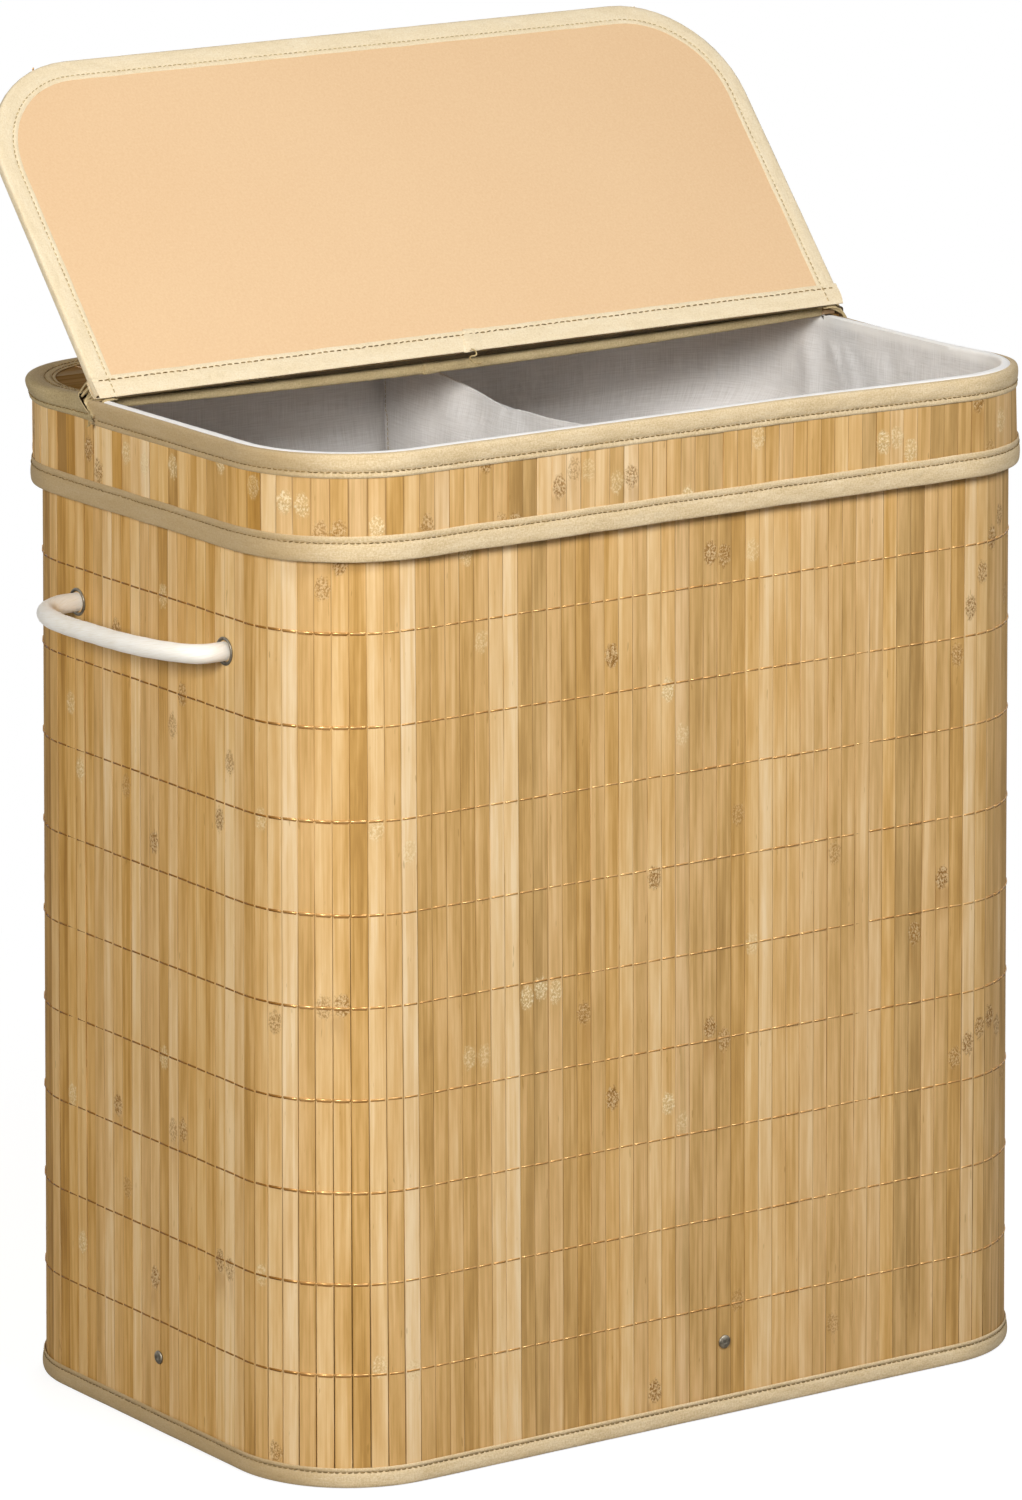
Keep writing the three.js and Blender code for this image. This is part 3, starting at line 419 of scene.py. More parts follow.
class Graph:
    """The node tree of one material or world."""

    def __init__(self, owner):
        owner.use_nodes = True
        self.owner, self.tree, self.own_map = owner, owner.node_tree, None
        self.tree.nodes.clear()

    def node(self, kind, settings=None, inputs=None, output=0):
        """Adds a node, with its settings first and then the values or links of its sockets."""
        made = self.tree.nodes.new(kind)
        for key, value in (settings or {}).items():
            if key == "stops":
                ramp = made.color_ramp
                while len(ramp.elements) < len(value):
                    ramp.elements.new(0.5)
                for element, (place, colour) in zip(ramp.elements, value):
                    element.position, element.color = place, paint(colour)
            else:
                setattr(made, key, value)
        for key, value in (inputs or {}).items():
            if isinstance(value, Socket):
                self.tree.links.new(value.output, made.inputs[key])
            else:
                made.inputs[key].default_value = value
        return Socket(self, made, made.outputs[output]) if made.outputs else None

    def vector(self, x, y, z=0.0):
        return self.node("ShaderNodeCombineXYZ", None, {0: x, 1: y, 2: z})

    def noise(self, vector, scale=1.0, detail=2.0, roughness=0.5):
        return self.node("ShaderNodeTexNoise", {"noise_dimensions": "3D"},
                         {"Vector": vector, "Scale": scale, "Detail": detail, "Roughness": roughness})

    def mix(self, share, first, second):
        """Colour between two colours."""
        inputs = {0: share, 6: paint(first), 7: paint(second)}
        return self.node("ShaderNodeMix", {"data_type": "RGBA"}, inputs, 2)

    def ramp(self, value, *stops):
        return self.node("ShaderNodeValToRGB", {"stops": stops}, {0: value})

    def cloth(self):
        """The piece's own map, in millimetres: across it and along it."""
        if self.own_map is None:
            self.own_map = self.node("ShaderNodeUVMap", {"uv_map": "cloth"}).parts()[:2]
        return self.own_map

    def weave(self, across, along, layer, detail=2.0, roughness=0.5):
        """Noise on the piece's own map, with its fineness across and along it, on a layer of its own."""
        u, v = self.cloth()
        return self.noise(self.vector(u * across, v * along, layer), detail=detail, roughness=roughness)

    def attribute(self, name):
        return self.node("ShaderNodeAttribute", {"attribute_name": name}, output=1).parts()

    def place(self):
        return self.node("ShaderNodeTexCoord", output=3)

    def surface(self, colour, roughness, height=None, depth=0.0002, strength=0.7, **sockets):
        """The principled shader, with a bump from a height, joined to the output."""
        inputs = {"Base Color": paint(colour), "Roughness": roughness}
        if height is not None:
            inputs["Normal"] = self.node("ShaderNodeBump", None,
                                         {"Strength": strength, "Distance": depth, "Height": height})
        inputs.update({key.replace("_", " "): value for key, value in sockets.items()})
        shader = self.node("ShaderNodeBsdfPrincipled", None, inputs)
        self.node("ShaderNodeOutputMaterial", None, {"Surface": shader})
        return self.owner


def paint(colour):
    """A colour written as six hex digits, as the linear values a socket takes."""
    if not isinstance(colour, str):
        return colour
    parts = np.array([int(colour[n:n + 2], 16) for n in (0, 2, 4)]) / 255
    linear = np.where(parts <= 0.04045, parts / 12.92, ((parts + 0.055) / 1.055) ** 2.4)
    return (*linear, 1.0)


def new_finish(name):
    """The graph of a new finish."""
    return Graph(bpy.data.materials.new(name))


def bamboo_finish(name, painted_shade, gloss):
    """Slats of many tones, with soft bands, clouds and fibres along them, a darker edge line, painted shade
    of the gaps between slats, that comes and goes, and at each knuckle a speckled oval: pale where strength
    is below 0, and darker, with a dusky cloud below it, where it is above."""
    g = new_finish(name)
    u, v = g.cloth()
    tone, hue, seed = g.attribute("slat_tone")
    first, second, strength = g.attribute("slat_knuckles")
    bands = g.weave(0.26, 0.006, seed * 53, 1.5).step(0.42, 0.58)
    streaks = g.weave(0.8, 0.009, seed * 37, 2.5, 0.6)
    fibres = g.weave(3.6, 0.035, seed * 91, 3, 0.7)
    clouds = g.weave(0.12, 0.016, seed * 17, 3, 0.6)
    value = (tone * 0.72 + bands * 0.17 + streaks * 0.36 + fibres * 0.36 + clouds * 0.7) - 0.68
    places = (0.0, 0.28, 0.52, 0.76, 1.0)
    pale = g.ramp(value, *zip(places, ("a98a58", "c4a36f", "d8b483", "e6c79b", "f0dab6")))
    warm = g.ramp(value, *zip(places, ("a0722f", "c19248", "d7aa65", "e5bf82", "f0d09e")))
    colour = g.mix(hue, pale, warm)
    # Painted shade of the gaps between slats: a darker line along each slat's edges.
    edge = abs(u).step(4.6, 5.1) * g.weave(0.05, 0.012, seed * 59, 1).step(0.35, 0.6)
    colour = g.mix(edge * 0.5, colour, "8a6530")
    grain = g.weave(0.45, 0.3, seed * 29, 2.5, 0.7) - 0.5
    ovals = [(((u * 0.2) ** 2.0 + ((v - place) * 0.13) ** 2.0) ** 0.5 + grain * 1.1).step(1.1, 0.7)
             for place in (first, second)]
    dark, strength = strength.step(-0.15, 0.15), abs(strength)
    knuckle = ovals[0].larger(ovals[1]) * strength
    fleck = g.weave(0.85, 0.62, seed * 67, 3, 0.75)
    below = (first - v).step(3, 9) * (first - v).step(34, 10) * clouds.step(0.45, 0.6)
    colour = g.mix(below * strength * dark * 0.5, colour, "a87a3c")
    colour = g.mix(knuckle * dark * 0.55, colour, "ab7d3f")
    colour = g.mix(knuckle * (1.0 - dark) * 0.4, colour, "e6cd98")
    colour = g.mix(knuckle * fleck.step(0.5, 0.42) * (0.8 - dark * 0.35), colour, "f4e4be")
    colour = g.mix(knuckle * fleck.step(0.49, 0.57) * (0.25 + dark * 0.6), colour, "7c541b")
    flaw = g.weave(0.45, 0.07, seed * 71, 1).step(0.74, 0.80)
    colour = g.mix(flaw * 0.4, colour, "96702f")
    # Painted shade: the whole colour is darkened towards dark brown by this share, for slats that lie in the
    # open flap's shadow.
    if painted_shade:
        colour = g.mix(painted_shade, colour, "3a2810")
    height = fibres * 0.3 + streaks * 0.25 + knuckle * fleck * 1.3
    return g.surface(colour, fibres.step(0.25, 0.75, 0.42, 0.6), height, 0.00016, Specular_IOR_Level=gloss)


def tape_finish(name, low, mid, high, speck, painted_side_shade=0.0):
    """Woven tape: a fine weave across and along, mottled in tone, puckered a little by its sewing, with a few
    darker flecks, and with painted shade, browner by a share, on the short sides of the wall."""
    g = new_finish(name)
    clouds = g.weave(0.035, 0.14, 3.0, 3)
    grain = g.weave(0.75, 0.95, 7.0, 3, 0.75)
    along = g.weave(0.16, 2.2, 11.0)
    across = g.weave(2.2, 0.25, 19.0)
    value = clouds * 0.3 + grain * 0.65 + along * 0.25 + across * 0.25 - 0.22
    colour = g.ramp(value, (0.33, low), (0.5, mid), (0.67, high))
    flecks = g.weave(0.55, 0.7, 31.0, 2, 0.8).step(0.63, 0.73)
    colour = g.mix(flecks * 0.3, colour, speck)
    # Painted shade: the tape on the short sides of the wall is made browner and darker by a share.
    if painted_side_shade:
        x, _, _ = g.place().parts()
        colour = g.mix(abs(x).step(0.24, 0.278) * painted_side_shade, colour, "a3875b")
    pucker = g.weave(0.11, 0.16, 43.0, 1)
    height = grain * 0.35 + along * 0.3 + across * 0.3 + pucker * 2.2
    return g.surface(colour, 0.86, height, 0.00042, 0.8, Sheen_Weight=0.06, Sheen_Roughness=0.5,
                     Specular_IOR_Level=0.2)


def cotton_finish():
    """Thin plain cotton: slubs both ways over a fine weave, slack that shows as soft dents, and a painted
    highlight that makes the hem near white."""
    g = new_finish("cotton")
    along = g.weave(0.05, 1.3, 5.0, 3, 0.6)
    across = g.weave(1.3, 0.05, 13.0, 3, 0.6)
    clouds = g.weave(0.012, 0.012, 23.0, 3)
    dents = g.weave(0.045, 0.03, 37.0, 3, 0.55)
    value = along * 0.5 + across * 0.5 + clouds * 0.2 - 0.1
    _, _, z = g.place().parts()
    colour = g.ramp(value, (0.3, "d2cfcc"), (0.5, "e6e4e3"), (0.7, "f5f4f4"))
    # Painted highlight: the cloth above 615 mm, the hem, is mixed towards near white as if brightly lit.
    colour = g.mix(z.step(0.615, 0.621) * 0.85, colour, "fdfcfa")
    height = along * 0.12 + across * 0.12 + dents * 1.6
    return g.surface(colour, 0.92, height, 0.0014, 0.6, Sheen_Weight=0.15, Sheen_Roughness=0.5,
                     Specular_IOR_Level=0.2)


def lining_finish():
    """Smooth facing cloth with a very fine grain and faint clouds."""
    g = new_finish("lining")
    place = g.place()
    clouds = g.noise(place, scale=5.0, detail=2)
    grain = g.noise(place, scale=700.0, detail=2, roughness=0.6)
    scuffs = g.noise(place, scale=45.0, detail=4, roughness=0.7).step(0.66, 0.8)
    colour = g.ramp(clouds * 0.35 + grain * 0.65, (0.3, "e4be92"), (0.5, "e8c499"), (0.7, "ecca9f"))
    colour = g.mix(scuffs * 0.1, colour, "d0a673")
    return g.surface(colour, 0.75, grain, 0.00008, 0.5)


def rope_finish():
    """Soft white cotton rope: fine lengthwise yarns with a slow twist and a dusting of fuzz."""
    g = new_finish("rope")
    u, v = g.cloth()
    yarn = g.noise(g.vector(u * 1.4 + v * 0.35, v * 0.1, 3.0))
    clouds = g.weave(0.08, 0.05, 9.0)
    colour = g.ramp(yarn * 0.6 + clouds * 0.4, (0.3, "efe8da"), (0.5, "f9f5ed"), (0.7, "fefcf8"))
    return g.surface(colour, 0.85, yarn, 0.0004, 0.7, Sheen_Weight=0.4, Sheen_Roughness=0.5)


def thread_finish(name, dark, light):
    """Spun thread with short changes of tone along it."""
    g = new_finish(name)
    clouds = g.noise(g.place(), scale=170.0, detail=2)
    return g.surface(g.ramp(clouds, (0.35, dark), (0.65, light)), 0.6)


def mat_thread_finish():
    """Smooth golden thread of the slat mats, which shines where it faces a lamp, with painted shade that
    makes it browner on the short sides of the wall."""
    g = new_finish("mat_thread")
    place = g.place()
    clouds = g.noise(place, scale=60.0, detail=2)
    x, _, _ = place.parts()
    # Painted shade: the thread is browner on the short sides of the wall.
    side = abs(x).step(0.262, 0.274)
    front = g.ramp(clouds, (0.35, "bb8a4a"), (0.65, "d6aa6c"))
    return g.surface(g.mix(side, front, "93621c"), 0.27, Metallic=0.45, Specular_IOR_Level=0.5)


def board_finish(name, low, high, scale):
    """Pressed board faced with thin cloth: clouds, fibres and a matt face."""
    g = new_finish(name)
    clouds = g.noise(g.place(), scale=scale, detail=4, roughness=0.6)
    grain = g.noise(g.place(), scale=scale * 30, detail=3, roughness=0.7)
    colour = g.ramp(clouds * 0.6 + grain * 0.4, (0.3, low), (0.7, high))
    return g.surface(colour, 0.82, grain, 0.0002, 0.5)


def steel_finish():
    """Plated steel, brushed by handling, dull and darker in patches."""
    g = new_finish("steel")
    clouds = g.noise(g.place(), scale=260.0, detail=4, roughness=0.7)
    colour = g.ramp(clouds, (0.3, "5c574d"), (0.7, "a29a8a"))
    return g.surface(colour, clouds.step(0.3, 0.7, 0.3, 0.52), Metallic=0.9)


BAMBOO = bamboo_finish("bamboo", 0, 0.3)
# A darker copy of the bamboo with painted shade, for the rear strip under the open flap.
SHADED_STRIP_BAMBOO = bamboo_finish("strip_bamboo_painted_shade", 0.6, 0.0)
BODY_TAPE = tape_finish("tape", "c8af82", "dcc59d", "ebd9b8", "94794a", 0.6)
# A darker, greyer copy of the tape: painted shade for the pieces under the open flap, which are the rear
# tape, the strip's tape and its join, and the cloth bunched at the hinge's ends.
SHADED_REAR_TAPE = tape_finish("rear_tape_painted_shade", "9f8b62", "b7a37a", "c9b790", "6b5430")
FLAP_TAPE = tape_finish("flap_tape", "e2cfa9", "eedcba", "f5e8cc", "b0935f")
# A dark brown copy of the tape: painted shade for the cloth of the hinge, under the flap.
SHADED_HINGE_TAPE = tape_finish("hinge_cloth", "54422a", "6d5936", "86714a", "3d2c14")
COTTON = cotton_finish()
LINING = lining_finish()
ROPE = rope_finish()
MAT_THREAD = mat_thread_finish()
SEWING_THREAD = thread_finish("sewing_thread", "66501f", "917640")
PALE_THREAD = thread_finish("pale_thread", "9c8454", "cdb888")
BOARD = board_finish("board", "8a6c3e", "a3844f", 22.0)
# Dark brown painted shadow, for the patches in the gaps behind the rear tape's two ends.
PAINTED_SHADOW = board_finish("painted_shadow_patch", "3d2c14", "5c4422", 60.0)
WEBBING = board_finish("webbing", "bda77c", "d3c096", 160.0)
STEEL = steel_finish()


# Slat mats


def slats(name, face, across, out, along, start, end, width, knuckle_rate):
    """A mat of slats: each is a flat strip with eased edges, bowed by half a sine, with a low ridge, a bell
    curve, at each knuckle. face, across and out are one row a slat: the middle of the outer face, and unit
    vectors over and out of it. Neighbours split from one cane have much the same tone, and their knuckles at
    much the same height."""
    count = len(face)
    face = face + out * rng.normal(0, 0.1, (count, 1))
    tilt = rng.normal(0, 0.012, (count, 1))
    across, out = across + out * tilt, out - across * tilt
    half = width / 2 - rng.uniform(0.0, SLAT_GAP, count)
    reach = end - start
    alike = np.repeat(np.arange(count), rng.integers(1, 4, count))[:count]
    cane, cane_tone, cane_hue = rng.random((3, count))[:, alike]
    first = start + KNUCKLE_LOW + cane * np.minimum(reach - 2 * KNUCKLE_LOW, KNUCKLE_SPAN)
    first = first + rng.normal(0, 4, count)
    second = first + np.where(reach > LONG_SLAT, rng.uniform(*KNUCKLE_GAP, count), 0)
    first, second = (np.clip(k, start + KNUCKLE_MARGIN, end - KNUCKLE_MARGIN) for k in (first, second))
    strength = np.where(rng.random(count) < knuckle_rate, 0.4 + 0.6 * rng.beta(1.1, 1.2, count), 0)
    kind = np.where(rng.random(count)[alike] < 0.6, 1, -1)
    near = np.array([-7.0, -3.2, -1.2, 0, 1.2, 3.2, 7.0])
    levels = np.concatenate([start[:, None], end[:, None], (start + reach * 0.37)[:, None],
                             (start + reach * 0.71)[:, None], first[:, None] + near,
                             second[:, None] + near * 1.01], 1)
    levels = np.sort(levels, 1)
    bells = sum(np.exp(-((levels - k[:, None]) / 2.2) ** 2) for k in (first, second))
    ridge = bells * strength[:, None] * 0.2
    bow = np.sin(math.pi * (levels - start[:, None]) / reach[:, None]) * rng.normal(0, 0.14, (count, 1))
    section = np.array([[-1, -1], [-1, -0.12], [-0.97, -0.03], [-0.6, 0.01], [0, 0.02], [0.6, 0.01],
                        [0.97, -0.03], [1, -0.12], [1, -1]])
    u = section[:, 0] * half[:, None]
    outer = section[:, 1] > -0.5
    rise = section[:, 1] * SLAT_THICKNESS + (ridge + bow)[:, :, None] * outer
    points = (face[:, None, None, :] + across[:, None, None, :] * u[:, None, :, None]
              + out[:, None, None, :] * rise[..., None] + np.asarray(along) * levels[:, :, None, None])
    uv = stack(np.concatenate([u, u[:, :1]], 1)[:, None, :], levels[:, :, None])
    # Painted light: on the short sides of the wall the slats are warmer and spread wider in tone, to offset
    # the pale reflection these sides show.
    side = out[:, 0] ** 4
    own_tone = 0.45 * (cane_tone - 0.5) + 0.75 * (rng.beta(2.2, 2.2, count) - 0.5)
    tone = 0.52 + own_tone * (1 + 0.5 * side)
    hue = np.clip(0.5 + 0.4 * (cane_hue - 0.5) + 0.35 * (rng.random(count) - 0.5) + 0.35 * side, 0, 1)
    values = {"slat_tone": stack(tone, hue, rng.random(count)),
              "slat_knuckles": stack(first, second, strength * kind)}
    return skin(name, points, uv, capped=True, values=values, sharp=30)


def threads(name, face, across, out, width, rows, closed):
    """Thread rows over a mat: each row lies on every slat's face, pressed flat, and goes in between slats.
    rows holds the way from each slat's middle to the thread, for each row and slat. Round a corner the thread
    is slacker, by the square of the sine of twice its turn: it shows more of its flat side and tips up."""
    shares = np.array([-0.5, -0.445, -0.395, 0.395, 0.445])
    dips = np.array([-1.4, -0.45, 0.1, 0.1, -0.45])
    base = face[:, None, :] + across[:, None, :] * (shares * width)[:, None] + out[:, None, :] * dips[:, None]
    lines = (rows[:, :, None, :] + base).reshape(len(rows), -1, 3)
    lift = out[:, None, :].repeat(len(shares), 1).reshape(-1, 3)
    way = unit(np.roll(lines, -1, 1) - np.roll(lines, 1, 1) if closed else np.gradient(lines, axis=1))
    side = unit(np.cross(way, lift))
    top = np.cross(side, way)
    slack = (2 * lift[:, :1] * lift[:, 1:2]) ** 2
    tip = THREAD_TIP * slack
    top, side = top * np.cos(tip) + side * np.sin(tip), side * np.cos(tip) - top * np.sin(tip)
    radius = THREAD_RADIUS * (1 + THREAD_SLACK * slack)[:, None, :]
    points = circles(lines, top, side, radius, 6, THREAD_FLAT)
    return skin(name, points, loop=(closed, True), capped=not closed, sharp=180)


middles = (np.arange(SLAT_COUNT) + 0.5) * SLAT_WIDTH
_, wall_normal = outline(middles)
zeros = np.zeros(SLAT_COUNT)
wall_out = stack(wall_normal[:, 0], wall_normal[:, 1], zeros)
wall_across = stack(-wall_normal[:, 1], wall_normal[:, 0], zeros)
wall_face = wall_points(middles, zeros + FOOT_OUT, zeros)
wall_up = np.array([0, 0, 1]) - WALL_LEAN * wall_out
on_corner = np.abs(wall_normal).max(1) < 0.999
wall_mat = slats("wall_slat_mat", wall_face, wall_across, wall_out, wall_up[:, None, None, :],
                 zeros + MAT_BOTTOM, zeros + MAT_TOP, SLAT_WIDTH + 0.05 * on_corner, 0.58)
fitted(wall_mat, "body", BAMBOO, "bamboo", "wall_slats")

row_heights = ROW_TOP + ROW_PITCH * (1 - np.arange(10))
wobble = 0.5 * ripple(middles[None, :] + row_heights[:, None] * 3, 5, waves=(3, 7, 17, 41))
rows = (row_heights[:, None] + wobble)[..., None] * wall_up
wall_sewing = threads("wall_threads", wall_face, wall_across, wall_out, SLAT_WIDTH, rows, True)
fitted(wall_sewing, "body", MAT_THREAD, "bamboo")


def band_top(distance):
    """Height of the band's slats and board: they dip with the rim, and are cut down under the rear strip."""
    y = wall_points(distance, BAND_OUT + 0 * distance, 0)[..., 1]
    return np.where(y > STRIP_FRONT - 4, STRIP_UNDER - 0.4, RIM_TOP - 1.0 - right_dip(distance))


band_lean = right_lean(middles)[:, None] * wall_out
band_face = wall_points(middles, zeros + BAND_OUT, zeros) + band_lean * BAND_BOTTOM
band_width = SLAT_WIDTH * (1 + BAND_OUT / CORNER * on_corner)
band_up = (np.array([0, 0, 1]) - band_lean)[:, None, None, :]
band_mat = slats("band_slat_mat", band_face, wall_across, wall_out, band_up, zeros + BAND_BOTTOM + 1.7,
                 band_top(middles), band_width, 0.35)
fitted(band_mat, "lid", BAMBOO, "bamboo", "band_slats")

# The board behind the band's slats: a thin upright section carried round the wall, leaning as the slats do
board_low, board_high = stack(0 * ALL_ROUND + BAND_BOTTOM + 1.7, band_top(ALL_ROUND) - 0.2).T
board_z = stack(board_low, board_low, board_high, board_high)
board_out = BAND_BOARD - right_lean(ALL_ROUND)[:, None] * (board_z - BAND_BOTTOM)
board_ring = wall_points(ALL_ROUND[:, None], board_out, board_z)
fitted(skin("band_board", board_ring, loop=(True, True)), "lid", BOARD, "board", "band_backing")


def strip_half(y):
    """Half the strip's width at a place along its depth, by the wall's round corners."""
    radius = CORNER + BAND_OUT
    over = np.clip(np.abs(y) - HALF_Y, 0, radius)
    return HALF_X + np.sqrt(radius ** 2 - over ** 2)


def flap_half(y):
    """Half the flap's width at a place along its depth, by its round front corners."""
    over = np.clip(-y - (FLAP_REACH - FLAP_CORNER), 0, FLAP_CORNER)
    return FLAP_HALF - FLAP_CORNER + np.sqrt(FLAP_CORNER ** 2 - over ** 2)


def lid_mat(part, half_at, front, back, top, shaped, body):
    """A lid panel's slats, which run along X and end at its outline, with thread rows over them."""
    count = round((back - front) / SLAT_WIDTH)
    width = (back - front) / count
    middle = front + (np.arange(count) + 0.5) * width
    half = np.minimum(half_at(middle - width / 2), half_at(middle + width / 2)) - 1.2
    ones, none = np.ones(count), np.zeros(count)
    face = stack(none, middle, none + top)
    over, out = stack(none, ones, none), stack(none, none, ones)
    mat = slats(f"{part}_slat_mat", face, over, out, (1, 0, 0), -half, half, width, 0.7)
    columns = np.arange(-4, 5)[:, None] * ROW_PITCH
    rows = stack(columns + 0.4 * ripple(middle + columns * 2, 8), none, none)
    sewn = threads(f"{part}_threads", face, over, out, width, rows, False)
    for piece in (mat, sewn):
        points = np.zeros(len(piece.data.vertices) * 3)
        piece.data.vertices.foreach_get("co", points)
        piece.data.vertices.foreach_set("co", (shaped(points.reshape(-1, 3) / MM) * MM).ravel())
        piece.data.update()
    bamboo = SHADED_STRIP_BAMBOO if part == "strip" else BAMBOO
    fitted(mat, body, bamboo, "bamboo", "rear_panel_slats" if part == "strip" else "flap_slats")
    fitted(sewn, body, MAT_THREAD, "bamboo")


lid_mat("strip", strip_half, STRIP_FRONT + 0.9, DEPTH / 2 + BAND_OUT, STRIP_TOP - 0.8, hung, "lid")
lid_mat("flap", flap_half, -FLAP_REACH + 0.9, -3.9, FLAP_HIGH - 0.8, opened, "flap")


# Bindings round the wall


def ring_tape(name, path, thickness, seed, begin=None, end=None, wave=TAPE_WAVE, drift=TAPE_DRIFT,
              change=None):
    """A folded tape round the wall: its section carried round the outline, a little wavy out and up.
    change gives more movement out, up and along the wall for each distance and section point."""
    section = folded(path, thickness)
    whole = begin is None
    distance = ALL_ROUND if whole else np.linspace(begin, end, int((end - begin) / 4) + 2)
    extra = np.zeros((len(distance), len(section), 3)) if change is None else change(distance, section)
    out = section[:, 0] + wave * ripple(distance, seed)[:, None] + extra[..., 0]
    z = section[:, 1] + drift * ripple(distance, seed + 1)[:, None] + extra[..., 1]
    points = wall_points(distance[:, None] + extra[..., 2], out, z)
    run = np.append(distance, PERIMETER) if whole else distance
    return skin(name, points, stack(run[:, None], closed_lengths(section)), loop=(whole, True),
                capped=not whole, sharp=75)


def front_change(distance, section):
    """The front rim hangs down and leans in along its right side."""
    down = -right_dip(distance)[:, None] * np.ones(len(section))
    inward = -right_lean(distance)[:, None] * (section[:, 1] - BAND_BOTTOM)
    return stack(inward, down, 0 * down)


def rear_change(distance, section):
    """The rear tape flares out and lifts towards its two front ends, by powers of the share of the way left,
    and round the left corner, by a bell curve. Its ends are slanted: low down they lap forward over the front
    rim's tape, and on top they stop short."""
    begin, end = right_distance(STRIP_FRONT), left_distance(STRIP_FRONT)
    to_left = np.clip(1 - (end - distance) / 60, 0, 1)[:, None] ** 2
    to_right = np.clip(1 - (distance - begin) / 40, 0, 1)[:, None] ** 2
    corner = np.exp(-((distance - (PART_ENDS[5] - 45)) / 48) ** 2)[:, None]
    high = np.clip((section[:, 1] - 614) / 12, 0, 1)
    outer = ease(section[:, 0], -8, 3)
    out = (corner * 1.8 + to_left * 0.6) * high * outer + (to_left + to_right) ** 3 * 2.1 * outer
    up = (to_left * 4.2 + to_right * 1.6 + corner) * high * outer
    slant = np.where(section[:, 0] > 2, 8 - (section[:, 1] - 618) * 1.35, -8)
    return stack(out, up, slant * (to_left ** 3 - to_right ** 3))


# Sections of the bindings: the way out from the wall's face, and the height
bottom_path = [(-4.3, 4.4), (-4.3, 0.5), (4.9, 0.5), (6.0, 1.6), (6.4, 4.6), (6.1, 8.0), (5.5, 9.6),
               (4.7, 10.4), (5.5, 11.2), (5.5, 12.5), (4.9, 13.1)]
lower_path = [(0.9, 575), (0.9, 565.4), (4.9, 565.2), (5.8, 566.3), (6.2, 569.5), (6.1, 573.6), (5.7, 575.7),
              (4.95, 577), (5.55, 578.2), (5.55, 580.2), (5.0, 581)]
rim_path = [(0.9, 620), (0.9, 628.5), (1.7, 629.6), (4.2, 629.6), (5.5, 628.8), (6.2, 626.8), (6.2, 622.6),
            (5.7, 620.2), (4.95, 618.9), (5.6, 617.7), (5.65, 616.2), (5.0, 615.3)]
rear_path = [(5.1, 617), (5.7, 617.6), (5.75, 619.0), (4.95, 620), (5.9, 621.2), (6.5, 623), (6.9, 625.2),
             (6.8, 627.2), (5.2, 629.3), (1, 629.8), (-2.6, 629.4), (-3.6, 628.8), (-4.7, 629.4),
             (-6.5, 629.4), (-7.6, 628.8), (-8.6, 629.3), (-9.8, 628.9)]
wall_top_path = [(-4.3, 609), (-4.3, 622.9), (-3.6, 623), (-0.5, 623), (0.0, 622.6), (0.0, 622.42)]
rim_begin, rim_end = left_distance(STRIP_FRONT - 0.3), right_distance(STRIP_FRONT - 0.3) + PERIMETER
rear_begin, rear_end = right_distance(STRIP_FRONT), left_distance(STRIP_FRONT)
along_front, along_rear = {"drift": 0.12, "change": front_change}, {"drift": 0.3, "change": rear_change}

for tape, body, finish, node in (
        (ring_tape("bottom_tape", bottom_path, 0.6, 21, drift=0.0), "body", BODY_TAPE, "bottom"),
        (ring_tape("band_lower_tape", lower_path, 0.6, 31), "lid", BODY_TAPE, "band_lower"),
        (ring_tape("front_rim_tape", rim_path, -0.6, 41, rim_begin, rim_end, **along_front),
         "lid", BODY_TAPE, "front_rim"),
        (ring_tape("rear_rim_tape", rear_path, 0.6, 51, rear_begin, rear_end, **along_rear),
         "lid", SHADED_REAR_TAPE, "rear_rim"),
        (ring_tape("wall_top_tape", wall_top_path, -0.5, 45, wave=0.0, drift=0.0),
         "body", BODY_TAPE, "wall_top")):
    fitted(tape, body, finish, "tape", f"{node}_binding")


# Rear strip of the lid


# Its board: a grid over its outline on both faces, joined round the rim
y = np.linspace(STRIP_FRONT + 1.2, DEPTH / 2 + 3.2, 20)[:, None]
x = np.linspace(-1, 1, 60) * (strip_half(y) - 1.0)
points = np.concatenate([stack(x, y, STRIP_TOP - 2.8), stack(x, y, STRIP_UNDER + 0.1)[:, ::-1]], 1)
uv = np.concatenate([points[..., :2], points[:, :1, :2]], 1)
strip_board = skin("strip_board", hung(points), uv, capped=True)
fitted(strip_board, "lid", LINING, "lining", "rear_panel_board", "rear_panel_lining")


def straight_tape(name, section, x, seed, shaped, wavy, rounding=0.0):
    """A folded tape along X: its section, with waves where wavy says, shaped as its panel is. Its ends are
    rounded towards the hinge, by rounding."""
    waver = 0.25 * ripple(x, seed, period=560)[:, None]
    drawn = rounding * (x[:, None] / x.max()) ** 61 * ease(section[:, 0], -9, 0.5) ** 2
    points = stack(x[:, None] - drawn, section[:, 0] + waver * wavy(section[:, 0]), section[:, 1])
    return skin(name, shaped(points), stack(x[:, None], closed_lengths(section)), capped=True, sharp=75)


def panel_section(edge, low, under, high, over, thickness):
    """Section of the tape round a panel's edge: the points under the panel are given from its edge and its
    lower face, and those over it from its edge and its upper face."""
    return folded(np.concatenate([np.add(under, (edge, low)), np.add(over, (edge, high))]), thickness)


strip_section = panel_section(
    STRIP_FRONT,
    STRIP_UNDER, [(14.6, -0.3), (12.8, -0.6), (11.8, -0.1), (10.8, -0.6), (3, -0.75), (0.3, -0.3),
                  (-0.2, 2.8)],
    STRIP_TOP, [(0.3, 0.1), (3.5, 0.4), (10.8, 0.3), (11.8, -0.2), (12.8, 0.3), (14.5, -0.1)], -0.55)
strip_tape = straight_tape("strip_front_tape", strip_section, np.linspace(-268, 268, 180), 61, hung,
                           lambda y: np.ones_like(y))
fitted(strip_tape, "lid", SHADED_REAR_TAPE, "tape", "rear_panel_binding")


# Flap: edge tape round three sides and hinge tape along the fourth


